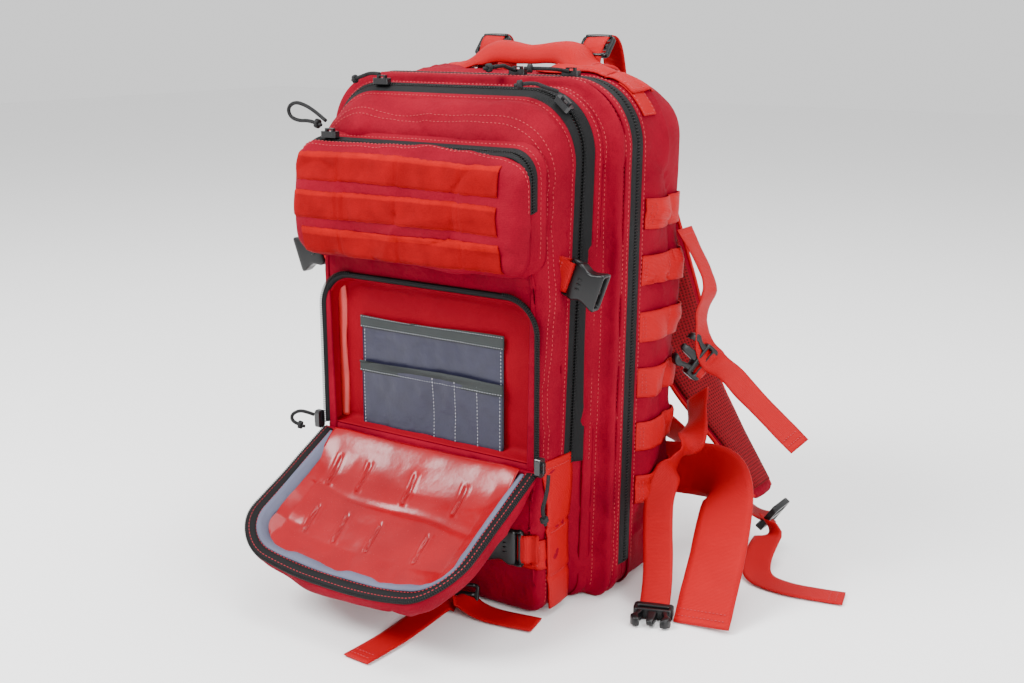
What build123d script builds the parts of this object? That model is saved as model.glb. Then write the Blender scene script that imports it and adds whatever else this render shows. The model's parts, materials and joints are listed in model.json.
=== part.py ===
from build123d import *
from dataclasses import dataclass
from math import atan, cos, radians, tan
import os

# Trauma backpack standing on its base. Millimetres. X is to the right of someone facing its front,
# Y runs from the front to the wearer's back, Z is up, and the origin is the centre of its base.

# Overall sizes
bag_height = 434.0
half_width_top = 148.0
half_width_base = 142.0
back_y = 98.0
main_zip_y = 10.0
ridge_y = -12.0
second_zip_y = -36.0
front_y = -77.0
second_height = 426.0
second_half_top = 126.0
second_half_base = 110.0
front_height = 398.0
front_half_top = 117.0
front_half_base = 111.0
top_radius = 52.0
front_top_radius = 48.0
base_radius = 18.0
back_edge_radius = 16.0

# Fabric, tape and clearances
wall = 3.0
tape_thickness = 1.2
tape_width = 9.0
webbing_thickness = 1.8
webbing_width = 25.4
wide_webbing = 48.0
zip_gap = 0.3
clearance = 0.4
zip_end_z = 22.0
piping_width = 4.0
piping_depth = 5.5

# Front panel, which leans forward about the end of its zip
panel_base = 118.3
panel_hinge_z = 118.0
panel_swing = 14.0
lower_half_width = 117.0
second_floor_y = -60.0

# Lower pocket and its fold-down lid
lid_half_width = 113.0
lid_base = 127.5
lid_top = 270.0
lid_radius = 32.0
lid_depth = 20.0
lid_taper = 21.0
lid_hinge_y = -78.2
lid_hinge_z = 127.0
lid_open_angle = 118.0
frame_width = 9.0
recess_inset = 5.0

# Upper pocket
upper_half_width = 117.0
upper_base = 284.0
upper_top = 390.0
upper_face_half = 113.0
upper_face_base = 289.5
upper_face_top = 376.0
upper_radius = 22.0
upper_zip_y = -93.0
upper_face_y = -106.0
upper_zip_end_z = 338.0
upper_tape_width = 5.0
loop_band_height = 21.0
loop_band_pitch = 30.0
loop_band_base = 292.0

# Side webbing rows
row_count = 6
row_base = 75.5
row_pitch = 47.8
row_front_y = 22.0
row_back_y = 90.0

# Sliders and cord pulls
slider_length = 16.0
slider_width = 8.0
slider_height = 5.0
cord_radius = 1.6
main_left_x = 34.0
main_right_x = 86.0
second_left_x = -71.0
second_right_angle = 41.0
upper_slider_x = -84.0
lower_slider_z = 134.0
lower_slider_gap = 1.6

# Side-release buckles
buckle_width = 32.0
buckle_depth = 12.0
buckle_length = 26.0
buckle_bar_radius = 2.5
buckle_bar_x = 9.0
buckle_tilt = 20.0
buckle_y = -56.0
buckle_z = 286.0

# Carrying parts
handle_y = 76.0
handle_axis_rise = 9.0
handle_left_x = -50.0
handle_right_x = 56.0
handle_rise = 8.0
handle_width = 20.0
lifter_x = 54.0
pad_thickness = 11.0
handle_axis_z = bag_height + handle_axis_rise


@dataclass
class Outline:
    """Upright outline with rounded corners, given by half widths and heights at its base and top."""

    half_base: float
    half_top: float
    base: float
    top: float
    base_round: float
    top_round: float

    def half_at(self, z):
        """Half width at height z."""
        share = (z - self.base) / (self.top - self.base)
        return self.half_base + (self.half_top - self.half_base) * share

    def face(self, y, inset=0.0):
        """The outline at depth y, moved in all round by inset."""
        base = self.base + inset
        top = self.top - inset
        half_base = self.half_at(base) - inset
        half_top = self.half_at(top) - inset
        corners = Polyline(
            (-half_base, base), (half_base, base), (half_top, top), (-half_top, top), close=True
        )
        shape = make_face(corners)
        low = shape.vertices().group_by(Axis.Y)[0]
        shape = fillet(low, max(self.base_round - inset, 1.0))
        high = shape.vertices().group_by(Axis.Y)[-1]
        shape = fillet(high, max(self.top_round - inset, 1.0))
        return Plane.XZ.offset(-y) * shape

    def top_corner(self):
        """Centre of the right-hand rounded top corner, as X and Z."""
        lean = atan((self.half_top - self.half_base) / (self.top - self.base))
        z = self.top - self.top_round
        return self.half_at(z) - self.top_round / cos(lean), z


main = Outline(half_width_base, half_width_top, 0, bag_height, base_radius, top_radius)
step = Outline(
    half_width_base - piping_depth,
    half_width_top - piping_depth,
    0,
    bag_height - piping_depth,
    base_radius,
    top_radius - piping_depth,
)
second = Outline(
    second_half_base, second_half_top, 0, second_height, base_radius, front_top_radius
)
panel_rear = Outline(
    second.half_at(panel_base), second_half_top, panel_base, second_height, 6, front_top_radius
)
panel_front = Outline(
    front_half_base, front_half_top, panel_base, front_height, 6, front_top_radius
)
lower_front = Outline(
    lower_half_width, lower_half_width, 0, panel_hinge_z - 1.5, base_radius, 4
)
lid_outline = Outline(lid_half_width, lid_half_width, lid_base, lid_top, 4, lid_radius)
upper_rear = Outline(
    upper_half_width, upper_half_width, upper_base, upper_top, upper_radius, upper_radius
)
upper_front = Outline(
    upper_face_half,
    upper_face_half,
    upper_face_base,
    upper_face_top,
    upper_radius - 4,
    upper_radius - 4,
)


def prism(outline, near, far, inset=0.0):
    """The outline carried straight from depth near to depth far."""
    return extrude(outline.face(far, inset), amount=far - near)


def hull(outline_near, near, outline_far, far, inset=0.0):
    """Straight-sided solid between two outlines."""
    faces = [outline_near.face(near, inset), outline_far.face(far, inset)]
    return loft(faces, ruled=True)


def slab(x_range, y_range, z_range):
    """Box given by its limits along X, Y and Z."""
    ranges = (x_range, y_range, z_range)
    centre = [(low + high) / 2 for low, high in ranges]
    size = [high - low for low, high in ranges]
    return Pos(*centre) * Box(*size)


def side_profile(points):
    """Solid wider than the bag whose side view has these Y and Z points."""
    face = make_face(Polyline(*points, close=True))
    return extrude(Plane.YZ * face, amount=2 * half_width_top, both=True)


def across_bag(y_range, z_range):
    """Slab wider than the bag."""
    reach = 2 * half_width_top
    return slab((-reach, reach), y_range, z_range)


def mirrored(part):
    """The same piece on the other side of the bag."""
    return mirror(part, about=Plane.YZ)


def webbing(stations, width, thickness=webbing_thickness):
    """Flat webbing through stations, each a point and the direction of the width there."""
    points = [Vector(*point) for point, across in stations]
    last = len(points) - 1
    sections = []
    for index, (point, across) in enumerate(stations):
        along = points[min(index + 1, last)] - points[max(index - 1, 0)]
        along = along.normalized()
        flat = Vector(*across)
        flat = flat - along * along.dot(flat)
        size = width[index] if isinstance(width, list) else width
        place = Plane(origin=point, x_dir=flat, z_dir=along)
        sections.append(place * Rectangle(size, thickness))
    return loft(sections, ruled=True)


def cord(name, points):
    """Round cord along straight runs joined by arcs as large as the runs allow."""
    radii = []
    for before, corner, after in zip(points, points[1:], points[2:]):
        run_in = Vector(*corner) - Vector(*before)
        run_out = Vector(*after) - Vector(*corner)
        turn = run_in.get_angle(run_out)
        shorter = min(run_in.length, run_out.length)
        radii.append(0.45 * shorter / tan(radians(turn) / 2))
    path = FilletPolyline(*points, radius=radii)
    section = Plane(origin=path @ 0, z_dir=path % 0) * Circle(cord_radius)
    tube = sweep(section, path=path)
    ratio = tube.volume / (section.area * path.length)
    print(name, "radii", [round(r, 1) for r in radii], "length", round(path.length, 1))
    print(name, "volume over section times length", round(ratio, 3))
    return tube


os.makedirs("parts", exist_ok=True)


def save(name, *solids):
    """Writes one node."""
    flat = [solid for piece in solids for solid in piece.solids()]
    export_step(Compound(children=flat), f"parts/{name}.step")


# Rear half of the main compartment

def rear_solid(inset, near):
    """The rear half with its rounded back edges, moved in by inset."""
    block = prism(main, near, back_y - inset, inset)
    back = block.faces().sort_by(Axis.Y)[-1]
    return fillet(back.edges(), back_edge_radius - inset)


rear_outer = rear_solid(0, main_zip_y + zip_gap)
rear_shell = rear_outer - rear_solid(wall, main_zip_y)


def tape(outline_near, near, outline_far, far, y_range, z_min):
    """Zip tape on the outside of a hull, clipped to a depth range and above z_min."""
    outer = hull(outline_near, near, outline_far, far, -tape_thickness)
    inner = hull(outline_near, near, outline_far, far)
    return (outer - inner) & across_bag(y_range, (z_min, 2 * bag_height))


main_zip_rear = tape(
    main,
    main_zip_y,
    main,
    back_y - back_edge_radius,
    (main_zip_y + zip_gap, main_zip_y + tape_width),
    zip_end_z,
)

frame_sheet = slab(
    (-half_width_base + 22, half_width_base - 22),
    (back_y - wall - clearance - 2, back_y - wall - clearance),
    (30, bag_height - 50),
)
sleeve_y = back_y - wall - clearance - 2 - clearance
hydration_sleeve = slab(
    (-half_width_base + 24, half_width_base - 24), (sleeve_y - 2.5, sleeve_y), (28, 300)
)


def back_pads():
    """Three padded panels against the wearer's back."""
    pads = []
    for low, high in ((30, 140), (152, 262), (274, 384)):
        pad = slab((-108, 108), (back_y, back_y + 10), (low, high))
        rim = pad.faces().sort_by(Axis.Y)[-1].edges()
        pads.append(fillet(rim, 6))
    return pads


def side_rows():
    """Rows of webbing on the right-hand side of the rear half."""
    rows = []
    for index in range(row_count):
        low = row_base + index * row_pitch
        half = main.half_at(low + webbing_width / 2)
        strip = slab(
            (half - 20, half + webbing_thickness),
            (row_front_y, row_back_y),
            (low, low + webbing_width),
        )
        rows.append(strip - rear_outer)
    return rows


def on_top_surface(y_range, x_range, z_min, thickness):
    """Flat piece lying on the outside of the rear half."""
    outer = prism(main, main_zip_y, back_y - back_edge_radius, -thickness)
    inner = prism(main, main_zip_y, back_y - back_edge_radius)
    return (outer - inner) & slab(x_range, y_range, (z_min, 2 * bag_height))


top_patch = on_top_surface((29, 66), (48, 2 * half_width_top), 408, webbing_thickness)

# Middle layer, from the main zip to the second zip and down to the front of the base

rear_cavity_y = ridge_y + wall
lower_top_drop = (second_zip_y - front_y) * tan(radians(panel_swing + 1))


def lower_block(inset):
    """Fixed lower front, whose top slopes to leave room for the leaning front panel."""
    block = prism(lower_front, front_y + inset, second_zip_y + zip_gap, inset)
    top = lower_front.top - inset
    slope = side_profile(
        [
            (second_zip_y + zip_gap, 0),
            (second_zip_y + zip_gap, top),
            (second_zip_y, top),
            (front_y, top - lower_top_drop),
            (front_y, 0),
        ]
    )
    return block & slope


middle_outer = (
    prism(main, ridge_y, main_zip_y - zip_gap)
    + hull(second, second_zip_y + zip_gap, step, ridge_y)
    + lower_block(0)
)
middle_shell = (
    middle_outer
    - prism(main, rear_cavity_y, main_zip_y, wall)
    - hull(second, second_zip_y + zip_gap, step, ridge_y, wall)
    - lower_block(wall)
)
main_zip_front = tape(
    main,
    ridge_y,
    main,
    main_zip_y,
    (main_zip_y - tape_width, main_zip_y - zip_gap),
    zip_end_z,
)
second_zip_rear = tape(
    second,
    second_zip_y,
    step,
    ridge_y,
    (second_zip_y + zip_gap, second_zip_y + tape_width),
    panel_base + 6,
)
piping_ring = prism(main, ridge_y - piping_width, ridge_y) - prism(
    main, ridge_y - piping_width, ridge_y, piping_depth
)
edge_piping = piping_ring & across_bag((front_y, back_y), (base_radius, 2 * bag_height))
mesh_pocket = slab(
    (-half_width_base + 26, half_width_base - 26),
    (rear_cavity_y, rear_cavity_y + 2),
    (40, 350),
)


def side_strip():
    """Upright webbing beside the lower end of the second zip."""
    return slab(
        (lower_half_width, lower_half_width + webbing_thickness),
        (front_y + 4, second_zip_y - 1),
        (14, 130),
    )


def lower_web():
    """Level webbing and its upright loop on the lower front."""
    level = slab((58, 112), (front_y - webbing_thickness, front_y), (44, 68))
    loop = slab((100, 112), (front_y - 7, front_y - webbing_thickness), (50, 74))
    slot = slab((99, 110), (front_y - 5.2, front_y - webbing_thickness), (49, 75))
    return level + (loop - slot)


def lower_buckle():
    """Socket half of the lower side-release buckle, held in the loop."""
    box = slab((68, 96), (front_y - 14, front_y - 3), (48, 76))
    socket = slab((67, 90), (front_y - 11.5, front_y - 5.5), (52, 72))
    bar = slab((96, 106), (front_y - 4.6, front_y - 2.4), (51, 73))
    return box - socket + bar


# Front panel with its two pockets

panel_outer = hull(panel_front, front_y, panel_rear, second_zip_y - zip_gap)
panel_inner = hull(panel_front, front_y, panel_rear, second_zip_y - zip_gap, wall)
second_space = panel_inner & across_bag((second_floor_y, second_zip_y), (0, bag_height))
upper_space = panel_inner & across_bag(
    (front_y + wall, second_floor_y), (lid_top + 10, bag_height)
)
recess_floor_y = second_floor_y - wall
pocket_recess = prism(lid_outline, front_y, recess_floor_y, recess_inset)
front_shell = panel_outer - second_space - upper_space - pocket_recess
second_zip_front = tape(
    panel_front,
    front_y,
    panel_rear,
    second_zip_y - zip_gap,
    (second_zip_y - tape_width, second_zip_y - zip_gap),
    panel_base + 6,
)
frame_y = front_y - tape_thickness
lower_zip_frame = prism(lid_outline, frame_y, front_y) - prism(
    lid_outline, frame_y, front_y, frame_width
)
lower_zip_frame &= across_bag((frame_y, front_y), (lid_base + 2, lid_top))

organizer_y = recess_floor_y - clearance
organizer_panel = slab((-77, 72), (organizer_y - 1.2, organizer_y), (lid_base + 6, 231))
organizer_bands = [
    slab((-77, 72), (organizer_y - 2.6, organizer_y - 1.2), (high - 9, high))
    for high in (231, 192)
]
facing_half = lid_half_width - recess_inset - clearance
facings = [
    slab(
        (facing_half - 11, facing_half - 9.5),
        (recess_floor_y - 12, recess_floor_y - clearance),
        (lid_base + 8, 244),
    )
]
facings.append(mirrored(facings[0]))

upper_gusset = hull(upper_front, upper_face_y, upper_rear, front_y) - hull(
    upper_front, upper_face_y, upper_rear, front_y, wall
)
upper_base_part = upper_gusset & (
    across_bag((upper_zip_y, front_y), (0, bag_height))
    + across_bag((upper_face_y + clearance, upper_zip_y), (0, upper_zip_end_z - zip_gap))
)
upper_zip_base = tape(
    upper_front,
    upper_face_y,
    upper_rear,
    front_y,
    (upper_zip_y, upper_zip_y + upper_tape_width),
    upper_zip_end_z,
)

# Upper pocket cover

cover_rim = upper_gusset & across_bag(
    (upper_face_y, upper_zip_y - clearance), (upper_zip_end_z + zip_gap, bag_height)
)
cover_face = prism(upper_front, upper_face_y - wall, upper_face_y)
upper_cover = cover_rim + cover_face
upper_zip_cover = tape(
    upper_front,
    upper_face_y,
    upper_rear,
    front_y,
    (upper_zip_y - upper_tape_width, upper_zip_y - clearance),
    upper_zip_end_z + zip_gap,
)
band_y = upper_face_y - wall
loop_bands = []
for row in range(3):
    band_base = loop_band_base + row * loop_band_pitch
    loop_bands.append(
        slab((-107, 107), (band_y - 2.2, band_y), (band_base, band_base + loop_band_height))
    )

# Lid, drawn closed and then swung open

rim_y = lid_hinge_y - clearance
shell_rim_y = rim_y - tape_thickness
lid_face_y = shell_rim_y - lid_depth


def lid_solid(inset):
    """The closed lid, deep at its top and tapering to nothing at its hinge."""
    block = prism(lid_outline, lid_face_y + inset, shell_rim_y, inset)
    cut = inset * 1.45
    taper = side_profile(
        [
            (shell_rim_y, lid_base + cut),
            (shell_rim_y, lid_top),
            (lid_face_y, lid_top),
            (lid_face_y, lid_base + lid_taper + cut),
        ]
    )
    return block & taper


def opened(part):
    """Swings a lid piece from closed to its resting place."""
    hinge = Axis((0, lid_hinge_y, lid_hinge_z), (1, 0, 0))
    return part.rotate(hinge, lid_open_angle)


liner_inset = wall + clearance
lid_shell = opened(lid_solid(0) - lid_solid(wall))
lid_liner = opened(lid_solid(liner_inset) - lid_solid(liner_inset + tape_thickness))
lid_zip = prism(lid_outline, shell_rim_y, rim_y) - prism(
    lid_outline, shell_rim_y, rim_y, frame_width
)
lid_zip = opened(lid_zip & across_bag((shell_rim_y, rim_y), (lid_base + 2, lid_top)))
binding_y = shell_rim_y - 1.5
binding_inset = liner_inset + tape_thickness + clearance
lid_binding = prism(lid_outline, binding_y - 1.5, binding_y, binding_inset) - prism(
    lid_outline, binding_y - 1.5, binding_y, binding_inset + 8
)
lid_binding = opened(
    lid_binding & across_bag((binding_y - 1.5, binding_y), (lid_base + 14, lid_top))
)


# Sliders

def slider():
    """Zip slider lying along X with its underside at z 0, and the loop that holds its pull."""
    body = Pos(0, 0, slider_height / 2) * Box(slider_length, slider_width, slider_height)
    body = fillet(body.edges().filter_by(Axis.Z), 2.5)
    arch = Pos(0, 0, slider_height) * Box(9, 3, 5)
    gap = Pos(0, 0, slider_height) * Box(5, 4, 3)
    return body + (arch - gap - body)


main_slider_z = bag_height + tape_thickness + clearance
main_sliders = [
    Pos(x, main_zip_y, main_slider_z) * slider() for x in (main_left_x, main_right_x)
]
second_slider_y = second_zip_y - slider_width / 2
second_slider_z = second_height + tape_thickness + clearance
second_slider_left = Pos(second_left_x, second_slider_y, second_slider_z) * slider()
corner_x, corner_z = second.top_corner()
second_slider_right = (
    Pos(corner_x, second_slider_y, corner_z)
    * Rot(0, second_right_angle, 0)
    * Pos(0, 0, front_top_radius + tape_thickness + clearance)
    * slider()
)
upper_share = (upper_zip_y - upper_face_y) / (front_y - upper_face_y)
upper_zip_z = upper_face_top + (upper_top - upper_face_top) * upper_share
upper_slider_z = upper_zip_z + tape_thickness + 2.6
upper_slider = Pos(upper_slider_x, upper_zip_y, upper_slider_z) * slider()
lower_slider_x = lid_half_width + lower_slider_gap
lower_slider_y = lid_hinge_y - clearance - slider_width / 2
lower_slider_right = (
    Pos(lower_slider_x, lower_slider_y, lower_slider_z) * Rot(0, 90, 0) * slider()
)

# Cord pulls, each on its slider

main_cord_z = main_slider_z + 8
main_left_cord = cord(
    "main_left_cord",
    [
        (main_left_x, main_zip_y - 5, main_cord_z - 3.6),
        (main_left_x - 3, main_zip_y - 13, main_cord_z - 1),
        (main_left_x + 1, main_zip_y - 23, main_cord_z + 1),
        (main_left_x - 5, main_zip_y - 35, main_cord_z - 1),
    ],
)
main_right_cord = cord(
    "main_right_cord",
    [
        (main_right_x, main_zip_y - 5, main_cord_z - 3.6),
        (main_right_x - 2, main_zip_y - 13, main_cord_z - 2),
        (main_right_x - 10, main_zip_y - 21, main_cord_z - 1),
        (main_right_x - 21, main_zip_y - 24, main_cord_z - 2),
    ],
)
second_left_cord = cord(
    "second_left_cord",
    [
        (second_left_x - 6, second_zip_y, second_slider_z + 8),
        (second_left_x - 16, second_zip_y + 2, second_slider_z + 9),
        (second_left_x - 25, second_zip_y, second_slider_z + 6),
        (second_left_x - 36, second_zip_y + 3, second_slider_z + 3),
    ],
)
second_right_cord = cord(
    "second_right_cord",
    [
        (106, second_zip_y - 6, 427),
        (100, second_zip_y - 14, 430),
        (91, second_zip_y - 18, 434),
        (81, second_zip_y - 20, 432),
    ],
)
upper_cord = cord(
    "upper_cord",
    [
        (-93, -88, 399),
        (-103, -86, 404),
        (-117, -84, 410),
        (-131, -83, 413),
        (-141, -82, 408),
        (-139, -82, 400),
        (-128, -83, 397),
        (-115, -84, 398),
        (-104, -86, 396),
    ],
)
lower_right_cord = cord(
    "lower_right_cord",
    [
        (124, -80, 128),
        (126, -84, 120),
        (125, -86, 110),
        (122, -87, 100),
        (124, -86, 92),
    ],
)
lower_left_cord = cord(
    "lower_left_cord",
    [
        (-124, -82, 136),
        (-130, -86, 139),
        (-138, -88, 139),
        (-145, -90, 134),
        (-142, -91, 128),
        (-134, -90, 127),
    ],
)


# Upper compression buckles

def female_buckle():
    """Socket half of a side-release buckle along X, with its webbing bar on the Z axis."""
    box = slab(
        (5, 5 + buckle_length),
        (-buckle_depth / 2, buckle_depth / 2),
        (-buckle_width / 2, buckle_width / 2),
    )
    socket = slab((9, 6 + buckle_length), (-4, 4), (-12.5, 12.5))
    cheek = slab((-buckle_bar_radius, 5), (-buckle_bar_radius, buckle_bar_radius), (13.4, 16))
    bar = Cylinder(buckle_bar_radius, 31)
    return box - socket + cheek + mirror(cheek, about=Plane.XY) + bar


def web_loop():
    """Webbing folded round the buckle's bar and sewn to the bag's side."""
    outer_radius = buckle_bar_radius + clearance + webbing_thickness
    inner_radius = buckle_bar_radius + clearance
    wrap = Cylinder(outer_radius, webbing_width) - Cylinder(inner_radius, webbing_width)
    tab = slab(
        (-buckle_bar_x - 8, -inner_radius),
        (-webbing_thickness, webbing_thickness),
        (-webbing_width / 2, webbing_width / 2),
    )
    return wrap + tab


panel_share = (buckle_y - front_y) / (second_zip_y - front_y)
near_half = panel_front.half_at(buckle_z)
panel_side_x = near_half + (panel_rear.half_at(buckle_z) - near_half) * panel_share
buckle_place = (
    Pos(panel_side_x + buckle_bar_x, buckle_y, buckle_z)
    * Rot(0, buckle_tilt, 0)
)
upper_web_right = buckle_place * web_loop() - panel_outer
upper_buckle_right = buckle_place * female_buckle()


def male_buckle():
    """Prong half of a side-release buckle along Z: frame with a webbing bar, guide and two arms."""
    frame_ring = Box(32, 8, 12) - Box(26, 9, 5)
    guide = Pos(0, 0, 15) * Box(5, 4, 18)
    arm = Pos(11.5, 0, 15) * Box(4, 6, 18)
    tip = Pos(12.5, 0, 24) * Box(6, 6, 5)
    return frame_ring + guide + arm + tip + mirrored(arm) + mirrored(tip)


# Grab handle and load lifters

def grab_handle():
    """Folded webbing handle that swings about its sewn ends."""
    top = handle_axis_z + handle_rise
    stations = [
        ((handle_left_x, handle_y, handle_axis_z), (0, 1, 0)),
        ((handle_left_x + 12, handle_y, top), (0, 1, 0)),
        (((handle_left_x + handle_right_x) / 2, handle_y, top - 1), (0, 1, 0)),
        ((handle_right_x - 12, handle_y, top), (0, 1, 0)),
        ((handle_right_x, handle_y, handle_axis_z), (0, 1, 0)),
    ]
    widths = [10, handle_width, handle_width, handle_width, 10]
    return webbing(stations, widths, 3.6)


def handle_anchor(x):
    """Stitched block at one end of the grab handle."""
    return slab(
        (x - 5, x + 5), (handle_y - 9, handle_y + 9), (bag_height, handle_axis_z - 6)
    )


grab = grab_handle()
handle_anchors = [
    handle_anchor(handle_left_x - 5.5),
    handle_anchor(handle_right_x + 5.5),
]

shoulder_stations = [
    ((58, back_y + 14, bag_height - 10), (1, 0, 0)),
    ((64, back_y + 30, bag_height - 26), (1, 0, 0)),
    ((74, back_y + 50, bag_height - 94), (1, -0.1, 0)),
    ((92, back_y + 64, 250), (1, 0.3, 0)),
    ((122, back_y + 70, 158), (0.6, 1, 0)),
    ((168, back_y + 72, 100), (0.1, 1, 0)),
    ((204, back_y + 72, 50), (0, 1, 0)),
]
shoulder_widths = [56.0, 62.0, 64.0, 62.0, 56.0, 50.0, 40.0]
shoulder_right = webbing(shoulder_stations, shoulder_widths, pad_thickness)

lifter_right = webbing(
    [
        ((lifter_x, back_y - 8.5, bag_height + 0.6), (1, 0, 0)),
        ((lifter_x, back_y - 3, bag_height + 7), (1, 0, 0)),
        ((lifter_x, back_y + 5, bag_height + 18), (1, 0, 0)),
        ((lifter_x + 1, back_y + 14, bag_height + 24), (1, 0, 0)),
        ((lifter_x + 2, back_y + 23, bag_height + 20), (1, 0, 0)),
        ((lifter_x + 4, back_y + 31, bag_height + 2), (1, 0, 0)),
        ((lifter_x + 6, back_y + 33, bag_height - 10), (1, 0, 0)),
    ],
    22,
)


def ladder_lock():
    """Strap adjuster frame with two slots, flat in X and Y."""
    return Box(33, 26, 7) - Pos(0, 6, 0) * Box(26, 6, 8) - Pos(0, -6, 0) * Box(26, 6, 8)


def lifter_adjuster():
    """Adjuster that the load lifter webbing runs through."""
    return Box(32, 16, 9) - Box(25, 9, 10)


lifter_lock_right = (
    Pos(lifter_x + 1, back_y + 14, bag_height + 24) * lifter_adjuster() - lifter_right
)
ladder_right = Pos(214, back_y + 72, 33) * Rot(0, 0, 90) * Rot(-56, 0, 0) * ladder_lock()

# Straps and belts

upper_strap_right = webbing(
    [
        ((149.6, 95, 306), (0, 1, 0.3)),
        ((160, 95, 290), (0.2, 1, 0.3)),
        ((174, 95, 268), (0.4, 1, 0.2)),
        ((177, 95, 252), (0.6, 1, 0)),
        ((170, 94, 238), (0.8, 1, 0)),
        ((170, 93, 227), (1, 0.7, 0)),
        ((172, 92, 216), (1, 0.7, 0)),
    ],
    webbing_width,
)
upper_tail_right = webbing(
    [
        ((190, 98, 187), (0.3, 1, 0.3)),
        ((200, 97, 182), (0.3, 1, 0.3)),
        ((212, 95, 172), (0.3, 1, 0.3)),
        ((232, 95, 155), (0.2, 1, 0.3)),
        ((265, 95, 130), (0.2, 1, 0.3)),
    ],
    webbing_width,
)
male_right = Pos(173, 88, 192) * Rot(0, 0, 55) * Rot(0, -48, 0) * male_buckle()
upper_tail_left = webbing(
    [
        ((-188, 98, 184), (-0.3, 1, 0.3)),
        ((-192, 99, 164), (-0.3, 1, 0)),
        ((-188, 100, 134), (-0.3, 1, 0)),
        ((-177, 102, 106), (-0.2, 1, 0)),
    ],
    webbing_width,
)

shoulder_webbing_right = webbing(
    [
        ((118, back_y + 2.4, 134), (1, 0, 1)),
        ((138, back_y + 19, 115), (1, -0.4, 0.9)),
        ((164, back_y + 50, 74), (0.3, -1, 0.4)),
        ((186, back_y + 63, 44), (0.1, -1, 0.1)),
        ((199, back_y + 68, 31), (0.1, -1, 0.1)),
    ],
    webbing_width,
)
shoulder_tail_right = webbing(
    [
        ((219, 156, 22), (0.3, -1, 0)),
        ((222, 132, 20), (1, 0, 0)),
        ((224, 110, 10), (1, 0.2, 0)),
        ((232, 94, 2.2), (1, 0.8, 0)),
        ((256, 88, 1.3), (0.2, 1, 0)),
        ((282, 90, 1.3), (0, 1, 0)),
        ((304, 95, 1.3), (-0.2, 1, 0)),
    ],
    webbing_width,
)
waist_belt_right = webbing(
    [
        ((130, 101.5, 84), (0, 0, 1)),
        ((160, 107, 86), (0.1, 0.1, 1)),
        ((192, 98, 92), (0.3, 0.4, 1)),
        ((212, 72, 88), (0.8, 0.4, 0.6)),
        ((221, 44, 68), (1, 0.2, 0.2)),
        ((228, 12, 34), (1, 0.1, 0)),
        ((233, -20, 2.5), (1, 0, 0)),
    ],
    wide_webbing,
)
waist_strap_right = webbing(
    [
        ((155, 122, 152), (0.5, 0.6, 1)),
        ((166, 102, 140), (0.6, 0.3, 1)),
        ((172, 80, 122), (0.4, 1, 0.6)),
        ((162, 62, 104), (0.2, 1, 0.6)),
        ((160, 42, 82), (0.9, 0.7, 0.2)),
        ((170, 22, 58), (1, 0.3, 0)),
        ((180, 6, 32), (1, 0.2, 0)),
        ((186, -8, 12), (1, 0.2, 0)),
    ],
    webbing_width,
)
waist_male = Pos(190, -20, 4.3) * Rot(0, 0, 20) * Rot(90, 0, 0) * male_buckle()
waist_belt_left = webbing(
    [
        ((-124, 104, 78), (0, 0, 1)),
        ((-140, 119, 72), (0.1, 0.3, 1)),
        ((-136, 140, 64), (1, 0.3, 0.7)),
        ((-118, 158, 36), (1, 0.5, 0.3)),
        ((-96, 178, 10), (0.8, -1, 0)),
        ((-66, 192, 1.3), (0.5, -1, 0)),
        ((-30, 204, 1.3), (0.3, -1, 0)),
    ],
    wide_webbing,
)
waist_female = (
    Pos(0, 212, buckle_depth / 2 + 0.2) * Rot(0, 0, 18) * Rot(90, 0, 0) * female_buckle()
)

bottom_strap = webbing(
    [
        ((120, -91, 1.3), (0.1, 1, 0)),
        ((100, -95, 1.3), (0.1, 1, 0)),
        ((78, -98, 1.3), (0, 1, 0)),
        ((62, -98, 4), (-0.1, 1, 0)),
    ],
    webbing_width,
)
bottom_tail = webbing(
    [
        ((36, -100, 6), (1, 0.2, 0)),
        ((34, -118, 2), (1, 0.1, 0)),
        ((36, -150, 1.3), (1, 0, 0)),
        ((38, -184, 1.3), (1, 0, 0)),
        ((36, -218, 1.3), (1, 0.1, 0)),
    ],
    webbing_width,
)
bottom_adjuster = Pos(44, -92, 10) * Rot(0, 0, 20) * Rot(70, 0, 0) * (Box(34, 18, 5) - Box(27, 9, 6))

save("rear_shell", rear_shell)
save("main_zip_rear", main_zip_rear)
save("frame_sheet", frame_sheet)
save("hydration_sleeve", hydration_sleeve)
save("back_pads", *back_pads())
rows = side_rows()
save("side_webbing", *rows, *[mirrored(row) for row in rows])
save("top_patch", top_patch)
save("middle_shell", middle_shell)
save("main_zip_front", main_zip_front)
save("second_zip_rear", second_zip_rear)
save("edge_piping", edge_piping)
save("mesh_pocket", mesh_pocket)
save("side_strips", side_strip(), mirrored(side_strip()))
save("lower_webs", lower_web(), mirrored(lower_web()))
save("lower_buckles", lower_buckle(), mirrored(lower_buckle()))
save("front_shell", front_shell)
save("second_zip_front", second_zip_front)
save("lower_zip_frame", lower_zip_frame)
save("organizer_panel", organizer_panel)
save("organizer_bands", *organizer_bands)
save("pocket_facings", *facings)
save("upper_pocket_base", upper_base_part)
save("upper_zip_base", upper_zip_base)
save("upper_cover", upper_cover)
save("upper_zip_cover", upper_zip_cover)
save("loop_bands", *loop_bands)
save("lid_shell", lid_shell)
save("lid_liner", lid_liner)
save("lid_zip", lid_zip)
save("lid_binding", lid_binding)
save("main_slider_left", main_sliders[0])
save("main_slider_right", main_sliders[1])
save("second_slider_left", second_slider_left)
save("second_slider_right", second_slider_right)
save("upper_slider", upper_slider)
save("lower_slider_right", lower_slider_right)
save("lower_slider_left", mirrored(lower_slider_right))
save("main_left_cord", main_left_cord)
save("main_right_cord", main_right_cord)
save("second_left_cord", second_left_cord)
save("second_right_cord", second_right_cord)
save("upper_cord", upper_cord)
save("lower_right_cord", lower_right_cord)
save("lower_left_cord", lower_left_cord)
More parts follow.
